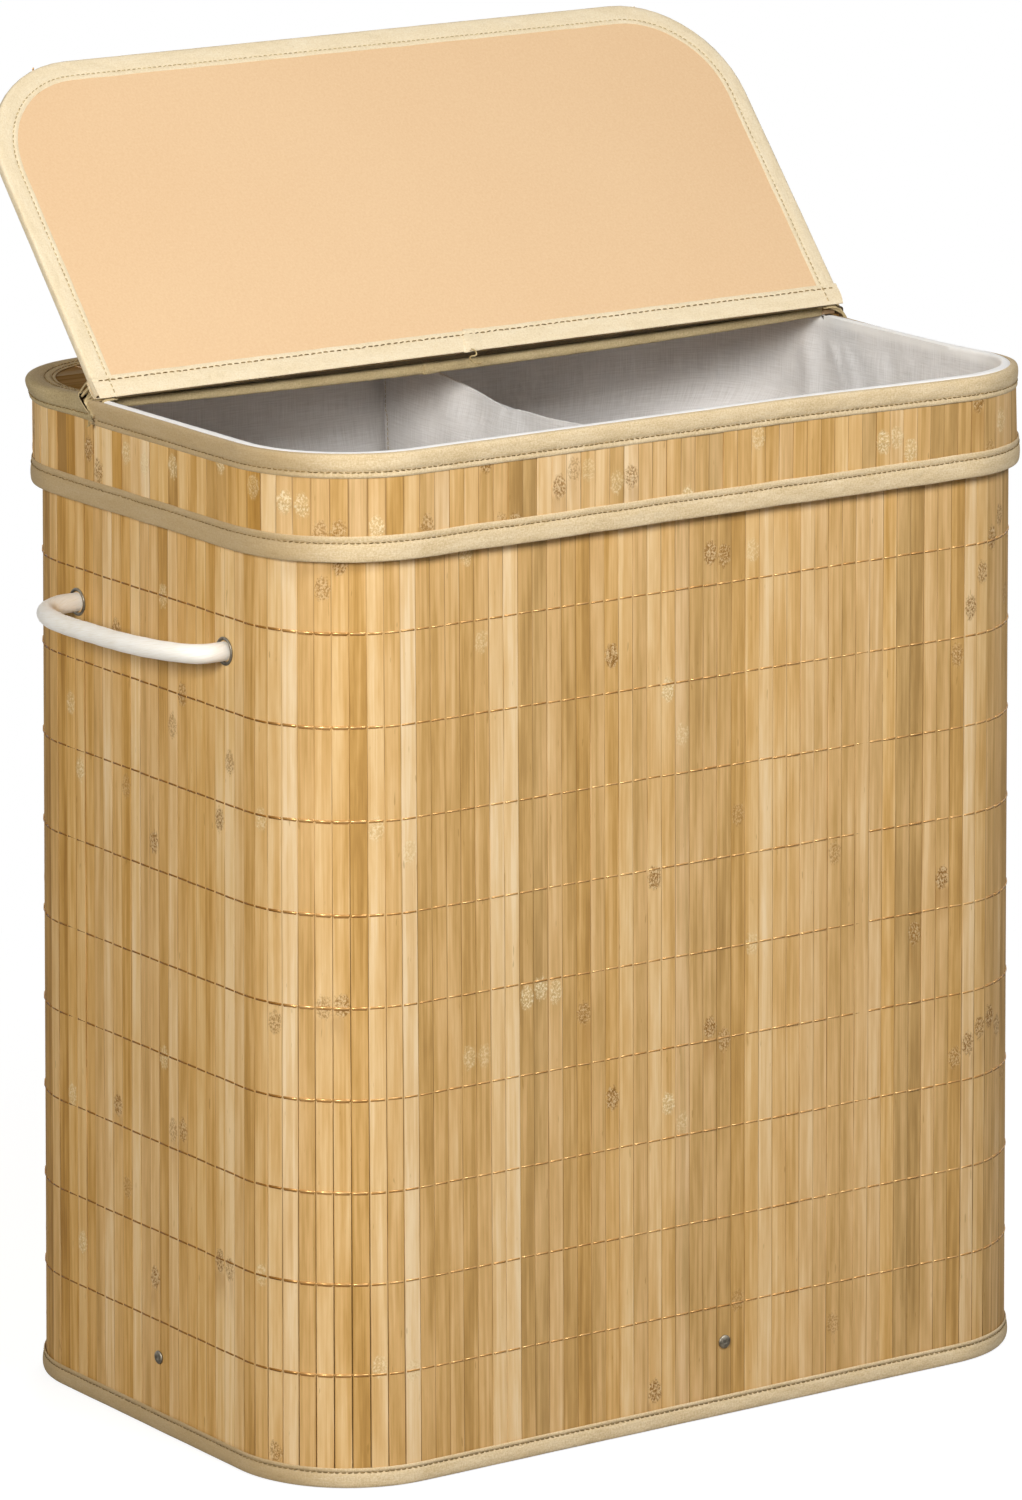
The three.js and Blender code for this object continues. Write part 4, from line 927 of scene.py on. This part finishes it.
def flap_path(inset):
    """The flap's outline, seen from above with the flap closed, from its left hinge end round the front to
    its right, straights with quarter turns between them, moved in by an inset, with the way out of it."""
    half, reach, radius = FLAP_HALF - inset, FLAP_REACH - inset, FLAP_CORNER - inset
    turn = np.linspace(0, math.pi / 2, 14)
    left = np.linspace(-2.5, -(FLAP_REACH - FLAP_CORNER), 42)[:-1]
    front = np.linspace(-(FLAP_HALF - FLAP_CORNER), FLAP_HALF - FLAP_CORNER, 92)[1:-1]
    centre_x, centre_y = FLAP_HALF - FLAP_CORNER, -(FLAP_REACH - FLAP_CORNER)
    points = np.concatenate([
        stack(-half, left),
        stack(-centre_x - radius * np.cos(turn), centre_y - radius * np.sin(turn)),
        stack(front, -reach),
        stack(centre_x + radius * np.sin(turn), centre_y - radius * np.cos(turn)),
        stack(half, left[::-1])])
    outward = np.concatenate([
        stack(-1 + 0 * left, 0), stack(-np.cos(turn), -np.sin(turn)), stack(0 * front, -1),
        stack(np.sin(turn), -np.cos(turn)), stack(1 + 0 * left, 0)])
    return points, outward


# The edge tape: its section carried along the flap's outline, with its inner edge a little wavy
edge_section = panel_section(
    0,
    FLAP_LOW, [(14.5, -0.1), (12.6, -0.42), (11.4, -0.02), (10.2, -0.42), (4, -0.45), (0.7, -0.1),
               (-0.1, 1.4)],
    FLAP_HIGH, [(-0.1, -1.4), (0.7, 0.3), (4, 0.65), (10.2, 0.5), (11.4, 0), (12.6, 0.5), (14.5, 0.1)], -0.6)
plan, outward = flap_path(0)
plan_run = lengths(plan)
waver = 0.3 * ripple(plan_run, 71, period=1000)[:, None]
inset = edge_section[:, 0] + waver * np.clip(edge_section[:, 0] / TAPE, 0, 1)
points = stack(plan[:, :1] - outward[:, :1] * inset, plan[:, 1:] - outward[:, 1:] * inset,
               edge_section[:, 1] + 0.12 * ripple(plan_run, 73, period=1000)[:, None])
edge_tape = skin("flap_edge_tape", opened(points), stack(plan_run[:, None], closed_lengths(edge_section)),
                 capped=True, sharp=75)
fitted(edge_tape, "flap", FLAP_TAPE, "tape", "flap_edge_binding")

hinge_section = panel_section(
    0,
    FLAP_LOW, [(-14.5, -0.15), (-12.6, -0.5), (-11.4, -0.08), (-10.2, -0.5), (-4, -0.55), (-0.6, -0.3),
               (0.5, 0.3), (-0.8, 2.4)],
    FLAP_HIGH, [(-2.6, -0.6), (-3.6, 0.3), (-10.2, 0.7), (-11.4, 0.1), (-12.6, 0.7), (-14.5, 0.2)], 0.6)
hinge_x = np.linspace(-FLAP_HALF - 0.4, FLAP_HALF + 0.4, 180)
hinge_tape = straight_tape("flap_hinge_tape", hinge_section, hinge_x, 81, opened,
                           lambda y: y < -TAPE + 4, 1.0)
fitted(hinge_tape, "flap", FLAP_TAPE, "tape", "flap_hinge_binding")


def tape_join(name, section, x, slant, body, shaped, finish):
    """Where two ends of a tape meet: a short lap of the same section, a little proud, with a slanted edge."""
    proud = unit(section - section.mean(0)) * 0.75
    along = np.array([0, 0.6, 3, 6.5, 10, 14])[:, None]
    thick = np.array([0.0, 1, 1, 0.8, 0.4, 0])[:, None, None]
    shape = section + proud * thick
    points = stack(x + along + slant * (section[:, 0] - section[:, 0].min()), shape[..., 0], shape[..., 1])
    piece = skin(name, shaped(points), stack(along, closed_lengths(section)), capped=True, sharp=50)
    return fitted(piece, body, finish, "tape")


tape_join("hinge_tape_join", hinge_section, -9.0, -0.35, "flap", opened, FLAP_TAPE)
tape_join("strip_tape_join", strip_section, -38.0, 0.1, "lid", hung, SHADED_REAR_TAPE)


# Stitches


def stitches(name, path, normal, body, finish, pitch=3.7, radius=0.32):
    """A row of stitches along a path: short threads that rise out of the cloth, lie on it and go back in."""
    run = lengths(path)
    count = int(run[-1] / pitch)
    begin = (np.arange(count) + 0.14) * run[-1] / count + rng.normal(0, 0.15, count)
    shares = np.array([0.0, 0.16, 0.5, 0.84, 1.0])
    at = begin[:, None] + shares * pitch * STITCH_SHARE
    lines = np.stack([np.interp(at, run, path[:, n]) for n in range(3)], -1)
    ups = unit(np.stack([np.interp(at, run, normal[:, n]) for n in range(3)], -1))
    side = np.cross(unit(np.gradient(lines, axis=1)), ups)
    slant = rng.normal(0, 0.35, (count, 1, 1)) * (shares - 0.5)[:, None]
    lines = lines + ups * np.array([-0.25, 0.12, 0.2, 0.12, -0.25])[:, None] + side * slant
    thick = radius * np.array([0.55, 0.95, 1.0, 0.95, 0.55])[:, None, None]
    points = circles(lines, ups, side, thick, 5)
    return fitted(skin(name, points, capped=True, sharp=180), body, finish, "tape")


def ring_stitches(name, out, z, body, begin, end, seed, drift=TAPE_DRIFT, change=None, flat=False):
    """Stitches along a ring tape, at a way out and a height of its section, upright or flat on its top."""
    distance = np.linspace(begin, end, int((end - begin) / 4))
    extra = np.zeros((len(distance), 3)) if change is None else change(distance, np.array([[out, z]]))[:, 0]
    path = wall_points(distance + extra[:, 2], out + TAPE_WAVE * ripple(distance, seed) + extra[:, 0],
                       z + drift * ripple(distance, seed + 1) + extra[:, 1])
    _, normal = outline(distance)
    up = stack(normal[:, 0] * (not flat), normal[:, 1] * (not flat), float(flat))
    return stitches(name, path, up, body, SEWING_THREAD)


ring_stitches("bottom_stitches", 5.3, 10.4, "body", 0, PERIMETER, 21, drift=0.0)
ring_stitches("band_lower_stitches", 5.5, 577.0, "lid", 0, PERIMETER, 31)
ring_stitches("front_rim_stitches", 5.5, 618.9, "lid", rim_begin + 10, rim_end - 10, 41, **along_front)
for part, out, z in (("rim", 5.6, 620.0), ("flange", -3.6, 629.2), ("edge", -7.6, 629.1)):
    ring_stitches(f"rear_{part}_stitches", out, z, "lid", rear_begin + 1, rear_end - 1, 51,
                  flat=part != "rim", **along_rear)

plan_in, _ = flap_path(TAPE - TAPE_SEAM)
edge_run = lengths(plan_in)
hinge_x = np.linspace(-FLAP_HALF + 3, FLAP_HALF - 3, 180)
corner_y = np.linspace(-TAPE + 1, -1.5, 6)
for face, level, way in (("inner", FLAP_LOW - 0.08, -1), ("outer", FLAP_HIGH + 0.15, 1)):
    up = np.array([0, 0, way])
    runs = {
        "edge": stack(plan_in[:, 0], plan_in[:, 1], level + 0.12 * ripple(edge_run, 73, period=1000))[3:-3],
        "hinge": stack(hinge_x, -TAPE + TAPE_SEAM + 0.25 * ripple(hinge_x, 81, period=560),
                       level + 0.15 * way),
        "left_corner": stack(-FLAP_HALF + TAPE - TAPE_SEAM, corner_y, level + 0.55 * way),
        "right_corner": stack(FLAP_HALF - TAPE + TAPE_SEAM, corner_y, level + 0.55 * way)}
    for part, local in runs.items():
        sewn = (SEWING_THREAD, 4.6, 0.42) if part == "hinge" else (PALE_THREAD,)
        stitches(f"flap_{part}_stitches_{face}", opened(local), opened(local + up) - opened(local), "flap",
                 *sewn)

strip_x = np.linspace(-252, 252, 160)
strip_y = STRIP_FRONT + 11.8 + 0.25 * ripple(strip_x, 61, period=560)
for face, level, way in (("top", STRIP_TOP + 0.05, 1), ("under", STRIP_UNDER - 0.3, -1)):
    stitches(f"strip_stitches_{face}", hung(stack(strip_x, strip_y, level)),
             stack(0 * strip_x, 0 * strip_x, way), "lid", SEWING_THREAD)


# Cloth of the hinge, and the bunched cloth at its two ends

# From the strip's tape to the flap's in a straight line, less a sine that dies away towards the flap, and
# lower where the strip sags
across = np.linspace(0, 1, 13)
cloth_back, cloth_low, cloth_high = 62, STRIP_TOP + 0.5, HINGE_Z - 0.5
cloth_y = cloth_back + (HINGE_Y + 0.2 - cloth_back) * across
cloth_z = cloth_low + (cloth_high - cloth_low) * across - 0.9 * np.sin(math.pi * across) * (1 - across)
cloth_x = np.linspace(-266, 266, 120)
lay = hung(stack(cloth_x, STRIP_FRONT, 0))[:, 2:] * (1 - across) ** 1.5
upper = stack(cloth_x[:, None], cloth_y, cloth_z + lay)
points = np.concatenate([upper, (upper - np.array([0, 0, 0.35]))[:, ::-1]], 1)
hinge_cloth = skin("hinge_cloth", points, stack(cloth_x[:, None], np.arange(27.0)), capped=True, sharp=80)
fitted(hinge_cloth, None, SHADED_HINGE_TAPE, "tape")
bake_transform(hinge_cloth)


def bunch(name, sign):
    """Cloth bunched up at an end of the hinge: a pleated sheet from the strip's corner, over the band and
    down between the two tapes. Its pleats are sines across it, deepest at its middle."""
    s, t = np.linspace(0, 1, 16)[:, None], np.linspace(0, 1, 40)[None, :]
    inner = stack(sign * 264, 51 + 13 * t, 629.6 + 0.8 * np.sin(9 * t))
    outer = stack(sign * 282.6, 49.5 + 11 * t, 619.5 + 9.5 * t)
    hump, share = np.sin(math.pi * s), s[..., None]
    arch = stack(sign * 1.5, 0, 3.2) * hump[..., None]
    pleat = 1.5 * np.sin(2 * math.pi * 3.4 * t + 2.2 * s) + 0.5 * np.sin(41 * t - 5 * s)
    pleat *= 0.35 + 0.65 * hump
    sheet = inner * (1 - share) + outer * share + arch + stack(sign * 0.5 * pleat, 0.3 * pleat, 0.8 * pleat)
    thin = stack(sign * 0.2, 0, 0.4)
    points = np.concatenate([sheet, (sheet - thin)[:, ::-1]], 1)
    across = np.concatenate([t[0], t[0][::-1], t[0][:1]]) * 22
    return fitted(skin(name, points, stack(s * 24, across), capped=True, sharp=80), "lid", SHADED_REAR_TAPE, "tape")


def ribbons(name, sign):
    """Folds squeezed out of the hinge's end: four strips that fan from the rear tape's slanted end up to the
    flap's corner. Each runs between two points with a rise halfway, a sine, and is arched across, a parabola,
    with its lower edge curled back."""
    begins = np.array([(-281.5, 66.0, 633.0), (-281.6, 64.2, 630.8), (-281.2, 61.8, 628.6),
                       (-280.4, 59.6, 626.6)])
    ends = np.array([(-275.0, 67.0, 639.0), (-274.5, 62.5, 637.8), (-274.0, 57.5, 633.4),
                     (-273.5, 56.0, 630.2)])
    widths = np.array([2.0, 2.6, 3.0, 3.0])[:, None, None, None]
    lift = np.array([-0.60, -0.75, 0.30])
    over = np.cross(unit(ends - begins), lift)[:, None, None, :]
    s, t = np.linspace(0, 1, 16)[:, None, None], np.linspace(-1, 1, 11)[:, None]
    middle = (begins[:, None, None, :] * (1 - s) + ends[:, None, None, :] * s
              + lift * (1.1 * np.sin(math.pi * s) + 0.25 * np.sin(3 * math.pi * s)))
    taper = 0.55 + 0.45 * s + 0.12 * np.sin(5 * s)
    face = middle + over * widths * taper * t / 2 + lift * (1.1 * (1 - t ** 2) - 0.35 * np.maximum(t, 0))
    points = np.concatenate([face, (face - lift * 0.45)[:, :, ::-1]], 2) * np.array([-sign, 1, 1])
    across = np.append(np.arange(22.0), 0) * 0.4
    return fitted(skin(name, points, stack(s[:, :, 0] * 9, across), capped=True, sharp=70), "lid", SHADED_REAR_TAPE,
                  "tape")


def end_shadow_patch(name, begin, end):
    """Painted shadow in the gap behind a tape's turned-in end: a thin ring section over a short way round the
    band.
    """
    section = folded([(5.0, 618), (5.05, 627.4), (4.2, 628.9), (2.0, 629.15), (-4.0, 629.2)], 0.2, 1)
    distance = np.linspace(begin, end, 8)
    points = wall_points(distance[:, None], section[:, 0], section[:, 1])
    return fitted(skin(name, points, capped=True), "lid", PAINTED_SHADOW, "tape")


for side, sign in (("left", -1), ("right", 1)):
    bunch(f"{side}_corner_cloth", sign)
    ribbons(f"{side}_corner_folds", sign)
end_shadow_patch("left_end_shadow_patch", left_distance(68), left_distance(52))
end_shadow_patch("right_end_shadow_patch", right_distance(52), right_distance(68))


def knot(name, centre, size):
    """A knotted thread end on the lid: a tube on a three-leaved curve, whose ways across and up are sums of
    sines and cosines of one and two turns, with a short tail drawn out of it."""
    t = np.linspace(0, 2 * math.pi * 1.35, 70)
    loops = stack(np.sin(t) * 0.5, np.sin(t) + 2 * np.sin(2 * t), np.cos(t) - 2 * np.cos(2 * t)) * size / 3
    tail = loops[-1] + stack(0.0, np.linspace(0.2, 2.2, 8), -np.linspace(0.1, 1.6, 8) ** 1.3) * size
    path = np.asarray(centre, float) + np.concatenate([loops, tail])
    strand = skin(name, tube(path, 0.38, 6, up=(1, 0, 0)), capped=True, sharp=180)
    return fitted(strand, "lid", PALE_THREAD, "tape")


knot("left_thread_knot", (-286.0, 48.6, 617.4), 1.3)

# A loose end of the hinge's thread: it hangs down, with a sine across and a quicker cosine up and down
wind = np.linspace(0, 6.2, 60)
loose = stack(-10 + 3.2 * np.sin(1.3 * wind) + 0.4 * wind, 47.2 - 0.35 * wind,
              632.6 - 1.5 * wind + 0.8 * np.cos(1.9 * wind))
loose_end = skin("hinge_loose_thread", tube(loose, 0.5, 6, up=(0, 1, 0.2)), capped=True, sharp=180)
fitted(loose_end, "flap", PALE_THREAD, "tape")


# Cotton bag and divider


def bag_folds(distance, z):
    """How far the bag stands in from its plain shape: soft upright folds, sums of sines, that are deeper and
    drift as they go down, and sharper creases, bell curves, on the right side, where the lid's strip ends."""
    down = 612 - z
    depth = np.clip(down / 160, 0, 1) ** 0.8
    waves = ripple(distance + down * 0.12, 91, waves=(7, 12, 19)) * 0.6
    waves += ripple(distance - down * 0.07, 92, waves=(29, 43)) * 0.25
    soft = np.clip((waves + 0.55) * 4.2 * depth, 0, 9)
    puckers = 0
    for place, drift, width, size in ((59.8, -0.65, 4, 0.7), (43, -0.5, 4, 0.6), (78, -0.2, 11, 0.8),
                                      (8, -0.3, 14, 0.4)):
        puckers += size * np.exp(-((distance - right_distance(place) - (625 - z) * drift) / width) ** 2)
    puckers *= 3.6 * ease(z, 614, 598) * ease(z, 480, 580)
    flutter = 0.4 * ripple(distance, 93, waves=(31, 53, 71)) * np.clip((628 - z) / 6, 0, 1)
    return soft + puckers + flutter


def bag_ring(distance, z, thickness):
    """One ring of the bag: the wall's outline near the top, and its own smaller one below its step."""
    upper = wall_points(distance, BAG_FACE - thickness + 0 * z, z)
    lower = wall_points(distance, -thickness + 0 * z, z, BAG_HALF_X - BAG_CORNER, BAG_HALF_Y - BAG_CORNER,
                        BAG_CORNER)
    share = ease(z, BAG_STEP_LOW, BAG_STEP_HIGH)[..., None]
    _, normal = outline(distance)
    fold = bag_folds(distance, z)
    sunk = right_dip(distance) * HEM_DIP * ease(z, 596, 629)
    return upper * share + lower * (1 - share) - stack(normal[..., 0] * fold, normal[..., 1] * fold, sunk)


def bag_floor(share, z, thickness):
    """Rings of the bag's floor: its lowest ring drawn in towards the middle by shares."""
    ring = bag_ring(ALL_ROUND, 12.0 + 0 * ALL_ROUND, thickness)
    return stack(ring[:, 0] * share, ring[:, 1] * share, z + 0.4 * ripple(ALL_ROUND, 95) * share)


# The bag: rings from the middle of its floor up its inside, round the rolled hem and down its outside
levels = np.concatenate([np.linspace(10, 500, 26), np.linspace(515, 600, 20), np.linspace(604, 626, 12)])
levels = levels[:, None]
hem = np.array([(BAG_FACE - CLOTH - 0.1, 627.4), (BAG_FACE - CLOTH + 0.5, 628.5), (BAG_FACE - 0.1, 629.0),
                (-4, 629.15), (-1.9, 629.0), (-0.7, 628.3), (-0.35, 627.0), (-0.3, 624.6), (-0.6, 623.6),
                (-2.0, 623.4), (BAG_FACE + 0.3, 623.4)])
hem_out = hem[:, :1] + 0.12 * ripple(ALL_ROUND, 96)
hem_z = hem[:, 1:] + 0.12 * ripple(ALL_ROUND, 97) - right_dip(ALL_ROUND) * HEM_DIP
roll = wall_points(ALL_ROUND, hem_out, np.maximum(hem_z, WALL_TOP + 0.15))
roll[..., 2] = np.where(roll[..., 1] > STRIP_FRONT - 0.8, WALL_TOP + 0.05, roll[..., 2])
shares = np.array([0.06, 0.35, 0.7, 0.94])[:, None]
inside, outside = (bag_ring(ALL_ROUND[None, :], levels, thick) for thick in (CLOTH, 0.0))
rings = np.concatenate([bag_floor(shares, 8.6, CLOTH), inside, roll, outside[::-1],
                        bag_floor(shares[::-1], 7.4, 0.0)])
down = np.append(0, np.cumsum(np.linalg.norm(np.diff(rings, axis=0), axis=2).mean(1)))
bag = skin("liner_bag_cloth", rings, stack(np.append(ALL_ROUND, PERIMETER), down[:, None]), capped=True,
           sharp=60)
fitted(bag, "body", COTTON, "cotton", "liner_bag")

# The divider: a sheet across the bag under its sagging hem. It bulges by sines along and up, leans away below
# the hem, and has one sharp crease, a hyperbolic tangent, and ripples that die away downwards as a bell curve
FLOOR_TOP = 8.9
share, y_share = np.linspace(0, 1, 70)[:, None], np.linspace(-1, 1, 110)[None, :]
top_z = np.interp(y_share * 167, [-167, -120, -41, -20, 0, 21.6, 28.1, 47.9, 74.5, 96, 130, 167],
                  [603, 601.5, 599.1, 598.3, 598.3, 598.1, 596.1, 599.0, 602.9, 606.5, 610, 613])
z = FLOOR_TOP + (top_z - FLOOR_TOP) * share ** 0.75
half = np.interp(z, [0, BAG_STEP_LOW, BAG_STEP_HIGH, 640], [163.2, 163.2, 167.0, 167.0])
y = y_share * half
edge = 1 - y_share ** 4
from_top = top_z - z
bulge = 1.7 * np.sin(y_share * 5 + share * 3) * np.sin(math.pi * share * 0.95) - 6 * ease(from_top, 0, 46)
crease = 1.6 * np.tanh((y - 28 - from_top * 1.6) / 3.5)
crease = crease * np.exp(-(from_top / 30) ** 2) * np.exp(-((y - 40) / 60) ** 2)
slack = 0.8 * np.sin(y / 9 + from_top / 14) * np.exp(-(from_top / 60) ** 2)
x = DIVIDER_X + (bulge + crease + slack) * edge
thick = 0.5 + 0.35 * np.exp(-(from_top / 3) ** 2) + 0.3 * np.exp(-((from_top - 11) / 0.8) ** 2)
points = np.concatenate([stack(x - thick, y, z), stack(x + thick, y, z)[:, ::-1]], 1)
uv = points[..., 1:] + 200
divider = skin("divider_cloth", points, np.concatenate([uv, uv[:, :1]], 1), capped=True, sharp=60)
fitted(divider, "body", COTTON, "cotton", "liner_divider")

seam_z = np.linspace(612, 480, 30)
seam = stack(DIVIDER_X - 1.6, 163.6 - 0.05 * (612 - seam_z) * (seam_z < 574), seam_z)
stitches("divider_seam_stitches", seam, stack(-1 + 0 * seam_z, 0, 0), "body", PALE_THREAD, 3.0, 0.2)


# Rope handles, eyelets and rivets


def handle_line(sign):
    """The rope's centreline: a broad arc out of the rear eyelet and into the front one, with its ends drawn
    on straight into both eyelets. Its way out is a power of a sine, fuller towards the rear, its way along
    the same power of the cosine, and it droops with the sine."""
    angle = np.linspace(0, math.pi, 90)
    out, along = (np.sign(f) * np.abs(f) ** (2 / ROPE_POWER) for f in (np.sin(angle), np.cos(angle)))
    reach = ROPE_REACH * out * (1 - ROPE_SKEW * (1 - np.cos(angle)))
    arc = stack(sign * (WIDTH / 2 + ROPE_AXIS_OUT + reach), HANDLE_HALF * along,
                HANDLE_Z - ROPE_DROOP * np.sin(angle) * (1 + np.cos(angle)))
    into = np.linspace(-12.5, ROPE_AXIS_OUT - 1.5, 10)
    first = stack(sign * (WIDTH / 2 + into), HANDLE_HALF, HANDLE_Z)
    last = stack(sign * (WIDTH / 2 + into[::-1]), -HANDLE_HALF, HANDLE_Z)
    return np.concatenate([first, arc, last])


eyelet_profile = soften([(6.4, -5.2), (8.3, -5.2), (8.4, -4.9), (8.2, -4.6), (7.1, -4.5), (7.1, 0.15),
                         (8.6, 0.15), (8.7, 0.5), (8.3, 1.0), (7.4, 1.2), (6.8, 0.9), (6.4, 0.3),
                         (6.4, -5.2)], 1)
turn = np.arange(ROPE_SIDES + 1) * 2 * math.pi * ROPE_RADIUS / ROPE_SIDES
for side, sign in (("left", -1), ("right", 1)):
    line = evenly(soften(handle_line(sign), 1), 2.0)
    run = lengths(line)
    radius = ROPE_RADIUS * (1 + 0.012 * np.sin(run / 3.1) + 0.01 * np.sin(run / 7.7))
    rope = skin(f"rope_{side}_handle", tube(line, radius, ROPE_SIDES), stack(turn, run[:, None]), capped=True,
                sharp=60)
    fitted(rope, None, ROPE, "rope", f"rope_{side}", f"rope_end_{side}_front", f"rope_end_{side}_rear")
    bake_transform(rope)
    for end, way in (("front", -1), ("rear", 1)):
        centre = (sign * (WIDTH / 2 + wall_out_at(HANDLE_Z)), way * HANDLE_HALF, HANDLE_Z)
        rings = turned(eyelet_profile[:-1], 48, centre, (sign, 0, 0))
        fitted(skin(f"eyelet_ring_{side}_{end}", rings, loop=(True, True)), "body", STEEL, "steel",
               f"eyelet_{side}_{end}")

rivet_profile = soften([(0.02, -10.0), (3.2, -10.0), (3.2, -9.3), (2.0, -9.2), (2.0, 0.2), (4.2, 0.2),
                        (4.3, 0.7), (3.7, 1.3), (2.0, 1.65), (1.2, 1.6), (0.9, 1.4), (0.02, 1.35)], 1)
wall_x, wall_y = WIDTH / 2 + wall_out_at(RIVET_Z), DEPTH / 2 + wall_out_at(RIVET_Z)
for side, x, y, outward in (("front", RIVET_X, -wall_y, (0, -1, 0)), ("rear", RIVET_X, wall_y, (0, 1, 0)),
                            ("left", -wall_x, RIVET_Y, (-1, 0, 0)), ("right", wall_x, RIVET_Y, (1, 0, 0))):
    rings = turned(rivet_profile, 36, (x, y, RIVET_Z), outward)
    fitted(skin(f"rivet_head_{side}", rings, capped=True), "body", STEEL, "steel", f"rivet_{side}")


# CAD nodes that stay as they are

for name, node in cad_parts.items():
    if name == "flap_lining":
        kept = LINING
    elif name.startswith("base_tab") or name == "liner_hook_strip":
        kept = WEBBING
    elif "washer" in name:
        kept = STEEL
    else:
        kept = BOARD
    node.data.materials.clear()
    node.data.materials.append(kept)


# Floor, world and lamps

floor_mesh = bpy.data.meshes.new("floor")
floor_mesh.from_pydata([(-6, -6, 0), (6, -6, 0), (6, 6, 0), (-6, 6, 0)], [], [(0, 1, 2, 3)])
floor = bpy.data.objects.new("floor", floor_mesh)
bpy.context.scene.collection.objects.link(floor)
g = new_finish("floor")
seen = g.node("ShaderNodeLightPath")
matt = g.node("ShaderNodeBsdfDiffuse", None, {"Color": (0.35, 0.35, 0.35, 1)})
glow = g.node("ShaderNodeEmission", None, {"Color": (1, 1, 1, 1), "Strength": 0.82})
plain = g.node("ShaderNodeEmission", None, {"Color": (1, 1, 1, 1), "Strength": 1.0})
far = g.node("ShaderNodeVectorMath", {"operation": "LENGTH"}, {0: g.place()}, 1).step(0.45, 1.1)
near = g.node("ShaderNodeAddShader", None, {0: matt, 1: glow})
lit = g.node("ShaderNodeMixShader", None, {0: far, 1: near, 2: plain})
shown = g.node("ShaderNodeMixShader", None, {0: seen, 1: matt, 2: lit})
g.node("ShaderNodeOutputMaterial", None, {"Surface": shown})
floor_mesh.materials.append(g.owner)

world = bpy.data.worlds.new("studio")
bpy.context.scene.world = world
g = Graph(world)
seen = g.node("ShaderNodeLightPath")
white = g.node("ShaderNodeBackground", None, {"Color": (1, 1, 1, 1), "Strength": 1.0})
ambient = g.node("ShaderNodeBackground", None, {"Color": (1, 0.985, 0.96, 1), "Strength": 0.06})
direct = seen.larger(seen.other("Is Glossy Ray")).larger(seen.other("Is Transmission Ray"))
shown = g.node("ShaderNodeMixShader", None, {0: direct, 1: ambient, 2: white})
g.node("ShaderNodeOutputWorld", None, {"Surface": shown})


def lamp(name, place, target, size, power, tint=(1, 1, 1), gloss=True):
    """A soft light that looks at a target. Without gloss it lights matt faces and shows in no reflection."""
    data = bpy.data.lights.new(name, "AREA")
    data.shape, data.size, data.size_y, data.energy, data.color = "RECTANGLE", *size, power, tint
    made = bpy.data.objects.new(name, data)
    made.location, made.visible_glossy = place, gloss
    made.rotation_euler = (Vector(target) - Vector(place)).to_track_quat("-Z", "Y").to_euler()
    bpy.context.scene.collection.objects.link(made)


lamp("front", (0.2, -2.0, 2.1), (0, 0, 0.35), (0.9, 0.9), 43)
lamp("side", (-2.35, -1.35, 1.45), (0, 0, 0.4), (0.7, 0.7), 54, tint=(1, 0.972, 0.92))
lamp("back", (1.7, 2.3, 0.85), (0, 0, 0.35), (1.2, 0.9), 46, gloss=False)

bpy.context.scene.view_settings.view_transform = "Standard"
